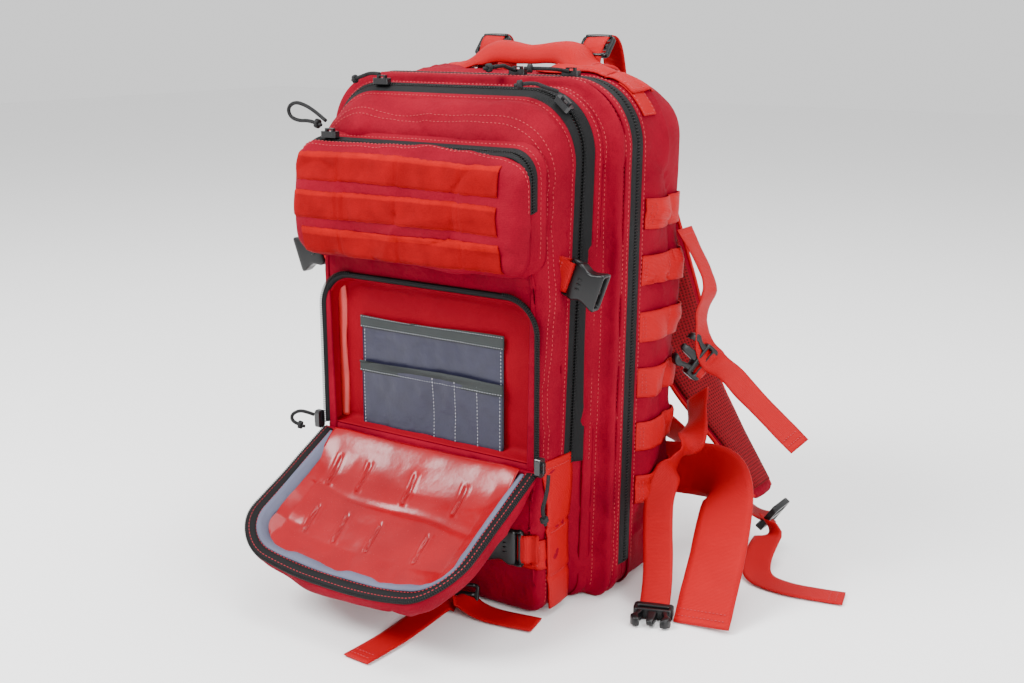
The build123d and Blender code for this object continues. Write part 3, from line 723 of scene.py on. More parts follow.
REAR_Y = [10.3, 12, 15, 18, 20, 22.5, 26, 30, 36, 42, 48, 54, 60, 66, 72, 77, 82]
rings = [main_ring(y) for y in REAR_Y]
for angle in np.linspace(0, 90, 9)[1:]:
    turn = math.radians(angle)
    rings.append(main_ring(82 + 16 * math.sin(turn), 16 * (1 - math.cos(turn))))
grid, normal = surface(rings)
depth = grid[..., 1]
fade = ease(depth, 20, 34) * (1 - 0.7 * ease(depth, 84, 98)) * ease(grid[..., 2], 2, 30)
bulge = 3.0 * ease(depth, 20, 40) * (1 - ease(depth, 66, 98)) * ease(grid[..., 2], 20, 80)
rear_grid = wrinkle(swell(grid, normal, bulge), normal, 5.2, 3, fade)
rear = sheet("rear_fabric", rear_grid, fabric, "root", closed=True)
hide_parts("rear_shell")


def back_wall():
    """Closing face of the back, drawn in towards its middle."""
    outer = rear_grid[-1]
    rows = []
    for share in np.linspace(0, 1, 16):
        ring = outer * (1 - share)
        heights = 217 + 0.55 * (outer[:, 2] - 217)
        ring = ring + share * np.stack([0 * outer[:, 0], outer[:, 1], heights], 1)
        ring[:, 1] = BACK_Y + 1.2 * math.sin(math.pi * share)
        rows.append(ring)
    return np.array(rows)


wall = back_wall()
wall[1:, :, 1] += 0.7 * noise(wall[1:], 40, 5)
back = sheet("back_fabric", wall, fabric, "root", closed=True, thickness=1.0)


def surface_tree(*objects):
    """Meshes that lines and patches are laid on."""
    points, polys = [], []
    for made in objects:
        base = len(points)
        points += [v.co / MM for v in made.data.vertices]
        polys += [tuple(base + v for v in p.vertices) for p in made.data.polygons]
    return BVHTree.FromPolygons(points, polys)


def land(tree, start, direction, lift=0.0):
    """Where a line from start meets the cloth, raised by lift, and the normal there."""
    hit, normal = tree.ray_cast(Vector(start), Vector(direction))[:2]
    if hit is None:
        return np.asarray(start, float), -unit(direction)
    normal = np.array(normal)
    if normal.dot(direction) > 0:
        normal = -normal
    return np.array(hit) + normal * lift, normal


def laid(tree, starts, direction, lift=0.0):
    """Lands a whole grid of points."""
    starts = np.asarray(starts, float)
    flat = [land(tree, p, direction, lift) for p in starts.reshape(-1, 3)]
    return (np.array([f[0] for f in flat]).reshape(starts.shape),
            np.array([f[1] for f in flat]).reshape(starts.shape))


# Zips

def zip_half(name, ring_of, near, far, body, nodes, z_min, seed, flange=6.0):
    """Half of a closed zip: a domed tape with its coil, and the stitched fold of cloth beside it.

    near is the depth at the middle of the zip, and far is the depth of the tape's outer edge."""
    way = 1 if far > near else -1
    width = abs(far - near)
    shape = [(0.15, 0.6), (0.9, 1.7), (2.4, 2.35), (4.5, 2.15), (width - 2.0, 1.7), (width, 0.5)]
    rows = []
    for reach, lift in shape:
        rows.append(ring_of(near + way * reach, -lift))
    grid = np.array(rows)
    part = above(grid[2], z_min)
    tape = sheet(name + "_tape", grid[:, part], tape_black, body, thickness=0.6)
    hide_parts(*nodes)
    coil = ring_of(near + way * 0.95, -1.9)[part]
    teeth(name + "_coil", coil, (0, way, 0), body, 2.6)
    fold = [(width - 1.9, 1.2), (width - 1.5, 1.95), (width - 0.4, 2.15), (width + 1.6, 1.9),
            (width + flange - 2, 1.5), (width + flange, 0.2)]
    rows = [ring_of(near + way * reach, -lift) for reach, lift in fold]
    grid = np.array(rows)
    grid[1:5] += 0.35 * noise(grid[1:5], 14, seed)[..., None] * vec(0, way, 0)
    grid[..., 2] = np.maximum(grid[..., 2], FLOOR_GAP)
    flap = sheet(name + "_fold", grid, fabric, body, closed=True, thickness=0.7)
    around = normals(grid, BAG_MIDDLE, True)
    lines = [(grid[3][part], around[3][part])]
    seam = stitches(name + "_stitch", lines, thread_red, body)


def teeth(name, line, out, body, pitch=2.2, size=(1.1, 0.7, 0.8)):
    """Coil of a zip as a row of small rounded ridges across its line."""
    line = resample(line, pitch)[0]
    ahead = unit(np.gradient(line, axis=0))
    out = unit(np.asarray(out, float) - ahead * (ahead @ np.asarray(out, float))[:, None])
    up = unit(np.cross(ahead, out))
    up *= np.sign((up * (line - vec(*BAG_MIDDLE))).sum(1, keepdims=True) + 1e-9)
    points, faces = [], []
    a, b, c = size
    for k in range(len(line)):
        base = len(points)
        for sx in (-1, 1):
            for sy, sz in ((-1, 0), (0, 1), (1, 0), (0, -1)):
                points.append(line[k] + out[k] * a * sx + ahead[k] * b * sy + up[k] * c * sz)
        faces += [tuple(base + v for v in f) for f in
                  ((0, 1, 5, 4), (1, 2, 6, 5), (2, 3, 7, 6), (3, 0, 4, 7), (3, 2, 1, 0), (4, 5, 6, 7))]
    made = add_object(name, points, faces, coil_black, body)
    return made


zip_half("main_zip_back", main_ring, 10.15, 20.5, "root", ["main_zip_rear"], 24, 1, flange=4.5)
zip_half("main_zip_fore", main_ring, 9.85, -1.5, "middle", ["main_zip_front"], 24, 2)
zip_half("second_zip_back", second_ring, -35.85, -26.0, "middle", ["second_zip_rear"], 124, 3,
         flange=5.0)
zip_half("second_zip_fore", front_ring, -36.15, -46.0, "front_panel", ["second_zip_front"], 124, 4,
         flange=5.0)


# Middle layer

rings = [main_ring(y) for y in (9.7, 8, 5, 2, -1, -4, -7, -9.5)]
RIDGE = ((-11, -0.9), (-12.8, -1.7), (-14.6, -0.9), (-15.6, 1.2), (-16.2, 3.6))
rings += [main_ring(y, inset) for y, inset in RIDGE]
rings += [second_ring(y) for y in (-17, -19, -22, -25, -28, -31, -34, -35.7)]
grid, normal = surface(rings)
depth = grid[..., 1]
fade = (ease(-depth, 4, 9) * (1 - ease(-depth, 9, 12))
        + ease(-depth, 17, 20) * (1 - ease(-depth, 27, 32))) * ease(grid[..., 2], 4, 40)
middle_grid = wrinkle(grid, normal, 2.5, 21, fade)
middle = sheet("middle_fabric", middle_grid, fabric, "middle", closed=True)
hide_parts("middle_shell", "edge_piping")
middle_normal = normals(middle_grid, BAG_MIDDLE, True)
edge = main_ring(-10.4, 1.6)
rings = []
for share in np.linspace(0, 0.999, 20):
    ring = edge * (1 - share) + vec(0, -10.4, 217) * share
    ring[:, 1] = -10.4 - 0.8 * math.sin(math.pi * share) ** 0.5
    rings.append(ring)
divider = sheet("divider_wall", np.array(rings), inner_fabric, "middle", closed=True, thickness=0.8,
                inside=(0, -60, 217))
part = above(middle_grid[6], 10)
lines = [(middle_grid[k][part], middle_normal[k][part]) for k in (6, 14)]
ridge = stitches("middle_ridge_stitch", lines, thread_red, "middle")


# Front: the leaning panel above, the fixed base below, in one cloth

FRONT_ROUND = 9.0
front_depths = [-36.3, -38, -41, -44, -47, -50, -54, -58, -62, -65.5, -68]
rings = [front_ring(y) for y in front_depths]
for angle in np.linspace(0, 90, 7)[1:]:
    turn = math.radians(angle)
    rings.append(front_ring(-68 - FRONT_ROUND * math.sin(turn), FRONT_ROUND * (1 - math.cos(turn))))
opening = full_ring(half_outline(lambda z: LID_HALF, LID_BASE, LID_TOP, 4, LID_RADIUS, 4.4), FRONT_Y)
edge = rings[-1]
for share in np.linspace(0, 1, 26)[1:]:
    rings.append(edge * (1 - share) + opening * share)
grid, normal = surface(rings)
x, depth, z = grid[..., 0], grid[..., 1], grid[..., 2]
low_front = ease(z, 4, 30) * (1 - ease(z, 96, 122)) * ease(-depth, 70, 77)
side_puff = ease(-depth, 44, 54) * (1 - ease(-depth, 60, 72)) * ease(z, 10, 60)
fade = ease(-depth, 45, 55) * ease(z, 2, 20)
face = 1 - ease(np.abs(z - 198), 76, 92)
fade = fade * (1 - face * ease(-depth, 71, 76))
normal[17:] = vec(0, -1, 0)
front_grid = swell(grid, normal, 4.5 * low_front * (1 - (x / 125) ** 4) + 2.2 * side_puff)
front_grid = wrinkle(front_grid, normal, 3.6 + 2.2 * low_front, 41, fade)
front = sheet("front_fabric", front_grid, fabric, closed=True)
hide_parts("front_shell")
front_normal = normals(front_grid, BAG_MIDDLE, True)
front_tree = surface_tree(front)
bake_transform(front)
part = above(front_grid[11], 10)
lines = [(front_grid[k][part], front_normal[k][part]) for k in (9, 11)]
seam = stitches("front_edge_stitch", lines, thread_red)
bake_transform(seam)


# Lower pocket: recess, facings, organizer and the tape round the opening

def pocket_ring(y, inset):
    outline = half_outline(lambda z: LID_HALF, LID_BASE, LID_TOP, 4, LID_RADIUS, inset,
                           (10, 5, 34, 16, 22))
    return full_ring(outline, y)


rings = [pocket_ring(-77.0, 4.9), pocket_ring(-74, 5.3), pocket_ring(-70, 6.2), pocket_ring(-66, 7.8),
         pocket_ring(-63.4, 9.8)]
base_ring = rings[-1]
for share in np.linspace(0, 1, 18)[1:]:
    ring = base_ring * (1 - share) + vec(0, -63.4, 198) * share
    ring[:, 2] += share * (base_ring[:, 2] - 198) * 0.2
    ring[:, 1] = -63.4 - 0.8 * math.sin(math.pi * share)
    rings.append(ring)
grid = np.array(rings)
grid[5:, :, 1] += 0.8 * noise(grid[5:], (50, 50, 38), 9) - 0.4
recess = sheet("lower_pocket_inside", grid, inner_fabric, "front_panel", closed=True, thickness=0.8,
               inside=(0, -400, 198))

tape_profile = [(0.2, -77.4), (0.5, -78.7), (1.5, -79.0), (3.0, -78.6), (3.9, -77.4), (4.2, -75.5),
                (4.6, -72.4), (5.2, -69.0), (6.6, -65.8)]
grid = np.array([pocket_ring(y, inset) for inset, y in tape_profile])
part = above(grid[0], 131)
grid = grid[:, part]
grid[..., 1] += 0.35 * noise(grid, 22, 4)
frame_tape = sheet("lower_zip_tape", grid, tape_black, "front_panel", thickness=0.7,
                   inside=(0, -60, 198))
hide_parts("lower_zip_frame")
coil = pocket_ring(-80.0, -0.1)
teeth("lower_zip_coil", coil[above(coil, 131)], (1, 0, 0), "front_panel", 2.0, (1.3, 0.65, 1.0))
around = normals(grid, (0, -60, 198))
seams = stitches("lower_zip_stitch", [(grid[k], around[k]) for k in (5, 7)], thread_dark,
                 "front_panel", pitch=3.4, length=2.4, width=0.7, height=0.4)

facing_parts = []
for side in (-1, 1):
    zs = np.linspace(262, 136, 46)
    rows = []
    for share in np.linspace(0, 1, 6):
        xs = 105.0 - 8.8 * share - 0.9 * np.sin(zs / 11.0 + side) * share
        ys = -66.5 + 1.4 * share - 1.6 * math.sin(math.pi * share) + 0.5 * np.sin(zs / 7.0) * share
        rows.append(np.stack([side * xs, ys, zs], axis=1))
    facing_parts.append(sheet("facing", np.array(rows), facing_red, None, thickness=0.8,
                              inside=(0, 0, 200)))
facings = joined("pocket_facing_strips", facing_parts, "front_panel")
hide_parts("pocket_facings")


def organizer_sheet(name, left, right, low, high, y, material, sag=0.0, thickness=0.5, seed=3,
                    amount=0.6):
    """One flat layer of the organizer, slightly slack."""
    zs, xs = np.linspace(low, high, 40), np.linspace(left, right, 60)
    gx, gz = np.meshgrid(xs, zs)
    across = (gx - left) / (right - left)
    up = (gz - low) / (high - low)
    slack = sag * np.sin(math.pi * across) * ease(up, 0.3, 1.0)
    points = np.stack([gx, np.full(gx.shape, y), gz], axis=2)
    puckers = noise(points, (16, 40, 34), seed) + 0.5 * noise(points, (7, 30, 15), seed + 1)
    points[..., 1] = y - slack - amount * puckers * np.sin(math.pi * across) ** 0.4
    points[..., 2] += 1.2 * np.sin(across * 5.1 + seed) * ease(up, 0.85, 1)
    return sheet(name, points, material, "front_panel", thickness=thickness, inside=(0, 0, 200)), points


back_layer, back_points = organizer_sheet("organizer_back", -77, 72, 134, 229, -67.6, organizer,
                                          amount=0.9)
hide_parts("organizer_panel", "organizer_bands")
front_layer, front_points = organizer_sheet("organizer_front", -77, 72, 134, 190, -69.2, organizer,
                                            sag=2.0, seed=11, amount=1.0)
band_top, top_points = organizer_sheet("organizer_band_top", -78, 73, 221, 231.5, -68.8, band_grey,
                                       thickness=1.0, amount=0.4)
band_mid, mid_points = organizer_sheet("organizer_band_mid", -78, 73, 182, 192, -70.6, band_grey,
                                       sag=2.0, thickness=1.0, seed=11, amount=0.9)
out = vec(0, -1, 0)
lines = []
for column in (1, 58, 31, 40, 49):
    lines.append((front_points[:, column], out))
for column in (1, 58):
    lines.append((back_points[18:, column], out))
seam = stitches("organizer_stitch", lines, thread_pale, "front_panel", pitch=3.0, length=2.2,
                width=0.75, height=0.6)
seam = stitches("organizer_band_stitch", [(top_points[4], out), (mid_points[5], out),
                                          (top_points[36], out)],
                thread_pale, "front_panel", pitch=2.6, length=1.8, width=0.6, height=0.9)


# Upper pocket

UPPER_COUNTS = (44, 14, 26, 14, 44)


def upper_ring(y, inset=0.0):
    share = min(max((-77 - y) / 29, 0), 1)
    half, low, top = 117 - 4 * share, 284 + 5.5 * share, 390 - 14 * share
    return full_ring(half_outline(lambda z: half, low, top, 22 - 4 * share, 22 - 4 * share, inset,
                                  UPPER_COUNTS), y)


rings = [upper_ring(y) for y in (-74, -77, -79, -81.5, -84, -86.5, -89, -91, -92.8)]
grid, normal = surface(rings, inside=UPPER_MIDDLE)
depth = grid[..., 1]
fade = ease(-depth, 78, 84) * (1 - ease(-depth, 88, 92) * ease(grid[..., 2], 325, 340))
upper_base_grid = wrinkle(grid, normal, 1.2, 61, fade)
upper_base = sheet("upper_pocket_gusset", upper_base_grid, fabric, "front_panel", closed=True,
                   inside=UPPER_MIDDLE)
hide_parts("upper_pocket_base")

UPPER_ROUND = 7.0
rings = [upper_ring(y) for y in (-93.2, -95, -97, -99, -101)]
for angle in np.linspace(0, 90, 6)[1:]:
    turn = math.radians(angle)
    rings.append(upper_ring(-101 - UPPER_ROUND * math.sin(turn), UPPER_ROUND * (1 - math.cos(turn))))
edge = rings[-1]
for share in np.linspace(0, 1, 22)[1:]:
    ring = edge * (1 - share) + share * vec(0, -108, 333)
    ring[:, 0] = edge[:, 0] * (1 - share * 0.999)
    ring[:, 2] = 333 + (edge[:, 2] - 333) * (1 - share * 0.97)
    rings.append(ring)
grid, normal = surface(rings, inside=UPPER_MIDDLE)
x, depth, z = grid[..., 0], grid[..., 1], grid[..., 2]
normal[10:] = vec(0, -1, 0)
crown = (1 - (x / 116) ** 4) * (1 - ((z - 333) / 48) ** 2)
swell_face = 5.5 * np.clip(crown, 0, 1) * ease(-depth, 100, 107)
hood = 3.5 * ease(z, 366, 378) * ease(-depth, 93.5, 97) * (1 - ease(-depth, 100, 105))
hood = hood * (1 - ease(x, 30, 75))
fade = ease(-depth, 95, 100)
cover_grid = swell(grid, normal, swell_face + hood)
cover_grid = wrinkle(cover_grid, normal, 3.8, 71, fade)
fold_line = np.exp(-((z - 303 - 0.05 * x) / 5.0) ** 2) * ease(x, 10, 80) * ease(-depth, 104, 108)
cover_grid[..., 1] += 1.6 * fold_line
cover = sheet("upper_pocket_front", cover_grid, fabric, closed=True, inside=UPPER_MIDDLE)
cover_tree = surface_tree(cover)
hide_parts("upper_cover")
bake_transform(cover)
cover_normal = normals(cover_grid, UPPER_MIDDLE, True)


def upper_line(source, source_normal, index, x_from=-200.0, z_min=338.0):
    """The part of a ring of the upper pocket above its zip's ends."""
    keep = above(source[index], z_min)
    line, out = source[index][keep], source_normal[index][keep]
    order = line[:, 0] > x_from
    return line[order], out[order]


lines = [upper_line(cover_grid, cover_normal, k) for k in (2, 4)]
seam = stitches("upper_cover_stitch", lines, thread_red, "upper_cover")
base_normal = normals(upper_base_grid, UPPER_MIDDLE, True)
lines = [upper_line(upper_base_grid, base_normal, k, z_min=300) for k in (3,)]
seam = stitches("upper_base_stitch", lines, thread_red, "front_panel")
for name, ys, body, cad in (("upper_zip_rear_tape", (-92.9, -91.6, -89.5, -87.4, -86.8), "front_panel",
                             "upper_zip_base"),
                            ("upper_zip_front_tape", (-93.1, -94.2, -96, -97.6, -98.2), "upper_cover",
                             "upper_zip_cover")):
    grid = np.array([upper_ring(y, -lift) for y, lift in zip(ys, (0.3, 1.6, 1.9, 1.5, 0.4))])
    grid = grid[:, above(grid[2], 338)]
    made = sheet(name, grid, tape_black, body, thickness=0.6, inside=UPPER_MIDDLE)
    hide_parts(cad)
    teeth(name + "_coil", grid[0] * 0.3 + grid[1] * 0.7, (0, 1, 0), body, 2.2)

bands = []
for row in range(3):
    low = 292 + 30 * row
    xs, zs = np.linspace(-101.5 if row == 0 else -109.5, 97.0, 150), np.linspace(low, low + 22.6, 12)
    gx, gz = np.meshgrid(xs, zs)
    ragged = 0.55 * noise(np.stack([gx, gz * 0 + row * 50, gz * 0], 2), 2.2, 5)
    gz = gz + ragged * (np.abs(gz - low - 11.3) > 10.5) + 1.2 * np.sin(gx / 43 + row)
    starts = np.stack([gx, np.full(gx.shape, -140.0), gz], axis=2)
    landed = laid(cover_tree, starts, (0, 1, 0), 1.5)[0]
    puff = 0.5 * noise(landed, (24, 30, 18), 8)
    landed[..., 1] -= puff
    landed[0, :, 1] += 1.2
    landed[-1, :, 1] += 1.2
    tack = np.exp(-(((gx + 62 - 62 * np.round((gx + 62) / 62)) / 1.3) ** 2))
    landed[..., 1] += 0.9 * tack
    landed[..., 1] = np.maximum(landed[..., 1], -120)
    bands.append((landed, sheet(f"loop_band_{row + 1}", landed, loop_pile, thickness=1.0,
                                inside=(0, -60, 335))))
for landed, made in bands:
    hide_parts("loop_bands")
    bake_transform(made)


# Lid, in its own frame: across, along from the hinge, and up out of the tray

LID_ALONG = vec(0, -math.sin(math.radians(62)), -math.cos(math.radians(62)))
LID_UP = vec(0, -math.cos(math.radians(62)), math.sin(math.radians(62)))
LID_ORIGIN = vec(0, -78.2, 127.0)


def lid_place(points):
    """Lid coordinates to the bag's, with the sag of its far edge."""
    points = np.asarray(points, float)
    x, a, n = points[..., 0], points[..., 1], points[..., 2]
    out = LID_ORIGIN + a[..., None] * LID_ALONG + n[..., None] * LID_UP
    out[..., 0] += x
    along = np.clip(a / 142.5, 0, 1)
    out[..., 2] -= 15.0 * along ** 2.2 * (1 - np.abs(x / 113) ** 2.2)
    out[..., 2] += 5.0 * along ** 2 * (np.abs(x) / 113) ** 3
    return out


def lid_path(inset):
    """U of points round the lid from its right hinge end to its left."""
    half, far, rounding = 113.0 - inset, 142.5 - inset, 40.0 - inset
    points = [(half, a) for a in np.linspace(0.0, far - rounding, 34, endpoint=False)]
    for t in np.linspace(0, math.pi / 2, 20, endpoint=False):
        points.append((half - rounding + rounding * math.cos(t),
                       far - rounding + rounding * math.sin(t)))
    points += [((half - rounding) * (1 - t), far) for t in np.linspace(0, 1, 24)]
    right = np.array(points)
    return np.concatenate([right, right[-2::-1] * (-1, 1)])


def lid_rows(profile):
    """Rows of the lid, each an inset from its edge and a height above its rim."""
    rows = []
    for inset, height in profile:
        path = lid_path(inset)
        rows.append(np.concatenate([path, np.full((len(path), 1), height)], axis=1))
    return np.array(rows)


LID_INSIDE = tuple(LID_ORIGIN + 70 * LID_ALONG - 6 * LID_UP)
outer = lid_rows([(0.3, 0.2), (-0.6, -2), (-1.2, -5), (-1.0, -9), (0.2, -13), (2.5, -16.5), (7, -19)])
floor_rows = []
for share in np.linspace(0, 1, 16)[1:]:
    row = outer[-1].copy()
    row[:, :2] = outer[-1][:, :2] * (1 - share) + vec(0, 4) * share
    row[:, 2] = -19 - 2.2 * math.sin(math.pi * min(share * 1.2, 1))
    floor_rows.append(row)
rows = np.concatenate([outer, np.array(floor_rows)])
rows[..., 2] *= ease(rows[..., 1], -2, 26)
grid = lid_place(rows)
normal = normals(grid, LID_INSIDE)
fade = ease(rows[..., 1], 6, 24) * ease(-rows[..., 2], 1, 6)
grid = wrinkle(grid, normal, 2.6, 91, fade)
lid_outer = sheet("lid_fabric", grid, fabric, "lid", inside=LID_INSIDE)
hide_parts("lid_shell")

profile = [(-0.2, -0.6), (-0.6, 1.2), (0.8, 2.4), (3.2, 2.2), (6.2, 1.7), (9.0, 1.0), (10.2, -0.6)]
rows = lid_rows(profile)
rows = rows[:, (rows[0, :, 1] > 3.0)]
rows[..., 2] += 0.6 * noise(rows, (26, 26, 50), 6)
grid = lid_place(rows)
lid_tape = sheet("lid_zip_tape", grid, tape_black, "lid", thickness=0.7, inside=LID_INSIDE)
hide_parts("lid_zip")
teeth("lid_zip_coil", grid[1] * 0.6 + grid[2] * 0.4, (0, -0.3, 0.2), "lid", 2.0, (0.9, 0.65, 1.0))
around = normals(grid, LID_INSIDE)
seam = stitches("lid_zip_stitch", [(grid[3], around[3]), (grid[5], around[5])], thread_dark, "lid",
                pitch=3.4, length=2.4, width=0.7, height=0.45)

profile = [(9.8, 0.8), (11.0, 1.6), (13.2, 0.6), (15.6, -1.6), (17.2, -3.2), (17.5, -4.8)]
rows = lid_rows(profile)
rows = rows[:, (rows[0, :, 1] > 4.0)]
drift = noise(rows * vec(1, 1, 0), (11, 11, 30), 15) + 0.6 * noise(rows * vec(1, 1, 0), (5, 5, 9), 16)
slack = np.linspace(0.2, 1, len(profile))[:, None]
rows[..., 2] += 1.8 * drift * slack * ease(rows[..., 1], 30, 110)
rows[..., 2] += 2.0 * slack * np.sin(rows[..., 0] / 9.0) * ease(rows[..., 1], 112, 124)
grid = lid_place(rows)
bound = sheet("lid_edge_binding", grid, binding, "lid", thickness=0.9, inside=LID_INSIDE)
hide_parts("lid_binding")
around = normals(grid, LID_INSIDE)
seam = stitches("lid_binding_stitch", [(grid[1], around[1]), (grid[4], around[4])], thread_pale, "lid",
                pitch=3.2, length=2.2, width=0.6, height=0.4)

us, vs = np.linspace(-1, 1, 110), np.linspace(0, 1, 78)
gu, gv = np.meshgrid(us, vs)
near, far = 3.0, 128.5
la = near + (far - near) * gv
turn = np.clip((la - far + 27) / 27, 0, 1)
half_here = 71 + 27.5 * np.sqrt(np.clip(1 - turn ** 2, 0, 1))
lx = gu * half_here
near_edge = np.exp(-(gv / 0.16) ** 2)
edge_dip = 1 - np.clip(np.minimum((1 - np.abs(gu)) * 7, (1 - gv) * 6), 0, 1)
ln = -7.5 + 4.5 * edge_dip - 2.5 * np.sin(math.pi * gv) * (1 - gu ** 2)
ln = ln + near_edge * (9.5 + 3.5 * np.abs(gu) ** 2) * (1 - 0.5 * edge_dip)
flat = np.stack([lx, la, lx * 0], axis=2)
calm = 1 - 0.75 * near_edge
ln = ln + calm * (1.7 * noise(flat, (46, 34, 9), 25) + 0.7 * noise(flat, (20, 17, 9), 26))
ln = ln + 1.4 * calm * np.abs(noise(flat + vec(0, 0.3, 0), (30, 20, 9), 28))
crease = np.exp(-((la - 62 - 0.06 * lx + 3 * np.sin(lx / 22)) / 3.2) ** 2)
ln = ln - 1.3 * crease * (1 - gu ** 4)
for row, (centre, half_len) in enumerate(((40.0, 15.0), (90.0, 14.0))):
    for place in ((-76, -43, 6, 58) if row == 0 else (-64, -32, 3, 52)):
        away = np.abs(lx - place - 0.10 * (la - centre))
        inside = 1 - ease(np.abs(la - centre), half_len - 1.5, half_len + 1.0)
        sunk, raised = np.exp(-(away / 1.3) ** 2), np.exp(-((away - 3.2) / 1.1) ** 2)
        ln = ln - 2.3 * sunk * inside + 0.9 * raised * inside
grid = lid_place(np.stack([lx, la, ln], axis=2))
liner = sheet("lid_liner_sheet", grid, vinyl, "lid", thickness=0.7, inside=LID_INSIDE)
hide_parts("lid_liner")


def under_liner():
    """Inner face of the lid's cloth, seen between the liner and the rim."""
    rows = lid_rows([(1.4, -0.8), (2.2, -6), (3.4, -12), (6, -15.5), (30, -17), (70, -17.5),
                     (111, -17.5)])
    rows[..., 2] *= ease(rows[..., 1], -2, 26)
    return lid_place(rows)


made = sheet("lid_inside", under_liner(), inner_fabric, "lid", thickness=0.6, inside=LID_INSIDE)


# Side rows of webbing

rear_tree = surface_tree(rear)
front_edge = lambda z: 23.8 + 1.0 * math.sin(z / 37)
row_seams = []
for side in (1, -1):
    for row in range(6):
        low = 75.5 + 47.8 * row
        ys = np.linspace(front_edge(low), 93.5, 56)
        zs = np.linspace(low, low + 25.4, 9)
        gy, gz = np.meshgrid(ys, zs)
        gz = gz - 1.6 * (gy - 20) / 70
        starts = np.stack([np.full(gy.shape, side * 220.0), gy, gz], axis=2)
        landed = laid(rear_tree, starts, (-side, 0, 0), 1.9)[0]
        bays = np.interp(ys, [ys[0], 29, 64, 93.5], [0, 0.0, 1.0, 2.0])
        bow = 2.6 * np.abs(np.sin(math.pi * bays)) ** 0.8
        landed[..., 0] += side * bow[None, :] * (0.9 + 0.1 * np.cos((gz - low - 12.7) / 5))
        made = sheet(f"side_row_{'right' if side > 0 else 'left'}_{row + 1}", landed, webbing, "root",
                     thickness=1.5, inside=(0, 50, 210))
        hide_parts("side_webbing")
        grid_normal = normals(landed, (0, 50, 210))
        for column in (3, 5):
            row_seams.append((landed[1:-1, column], grid_normal[1:-1, column]))
        tack = int(np.argmin(np.abs(ys - 64)))
        row_seams.append((landed[1:-1, tack], grid_normal[1:-1, tack]))
seam = stitches("side_row_stitch", row_seams, thread_red, "root", pitch=3.0, length=2.0, width=0.7)


# Side strips

strip_seams = []
for side in (1, -1):
    zs, ys = np.linspace(134, 6, 60), np.linspace(0, 1, 9)
    rows = []
    for z in zs:
        near = np.interp(z, [6, 50, 134], [-68, -72, -73.5])
        far = np.interp(z, [6, 60, 134], [-38, -36, -31.5])
        depths = near + (far - near) * ys
        row = []
        for depth in depths:
            half = front_half(float(np.clip((-36 - depth) / 41, 0, 1)))(z)
            share = np.clip((depth - near) / (far - near), 0, 1)
            lift = 2.4 + 1.1 * math.sin(math.pi * share) + 0.9 * math.sin(z / 14.0) * share
            row.append((side * (max(half, 114.5 if depth > -40 else 0) + lift), depth, max(z, 4)))
        rows.append(row)
    grid = np.array(rows)
    for level in (76, 34):
        grid[..., 0] -= side * 1.5 * np.exp(-((grid[..., 2] - level) / 2.2) ** 2)
    made = sheet(f"side_strip_{'right' if side > 0 else 'left'}", grid, webbing, "middle",
                 thickness=1.6, inside=(0, -50, 70))
    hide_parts("side_strips")
    out = vec(side, 0, 0)
    for index in (3, 28, 46):
        strip_seams.append((grid[index, 1:-1] + out * 0.1, out))
seam = stitches("side_strip_stitch", strip_seams, thread_red, "middle", pitch=3.0, length=2.2, width=0.8)


# Small solids

def placed(x, y, z, *turns):
    """A move after turns about X, Y or Z in degrees, the last turn first."""
    matrix = Matrix.Translation((x, y, z))
    for axis, angle in turns:
        matrix = matrix @ Matrix.Rotation(math.radians(angle), 4, axis)
    return matrix


def mirrored(made, name, body=None):
    """The piece on the other side of the bag."""
    mesh = made.data.copy()
    mesh.transform(Matrix.Scale(-1, 4, (1, 0, 0)))
    mesh.flip_normals()
    other = bpy.data.objects.new(name, mesh)
    bpy.context.collection.objects.link(other)
    if body:
        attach(other, body)
    return other


def plate(name, outlines, thickness, edge=0.8, material=None, face="XY"):
    """Flat moulding with softened edges, from an outline and its holes, centred on its plane."""
    curve = bpy.data.curves.new(name, "CURVE")
    curve.dimensions = "2D"
    curve.fill_mode = "BOTH"
    curve.extrude = (thickness / 2 - edge) * MM
    curve.bevel_depth = edge * MM
    curve.bevel_resolution = 2
    curve.offset = -edge * MM
    for outline in outlines:
        spline = curve.splines.new("POLY")
        spline.points.add(len(outline) - 1)
        for target, point in zip(spline.points, outline):
            target.co = (point[0] * MM, point[1] * MM, 0, 1)
        spline.use_cyclic_u = True
    source = bpy.data.objects.new(name, curve)
    bpy.context.collection.objects.link(source)
    graph = bpy.context.evaluated_depsgraph_get()
    mesh = bpy.data.meshes.new_from_object(source.evaluated_get(graph))
    bpy.data.objects.remove(source)
    mesh.materials.clear()
    mesh.materials.append(material or plastic)
    made = bpy.data.objects.new(name, mesh)
    bpy.context.collection.objects.link(made)
    if face == "XZ":
        mesh.transform(Matrix.Rotation(math.pi / 2, 4, "X"))
    mesh.polygons.foreach_set("use_smooth", [False] * len(mesh.polygons))
    return made


def shifted(outline, dx, dy):
    return [(p[0] + dx, p[1] + dy) for p in outline]


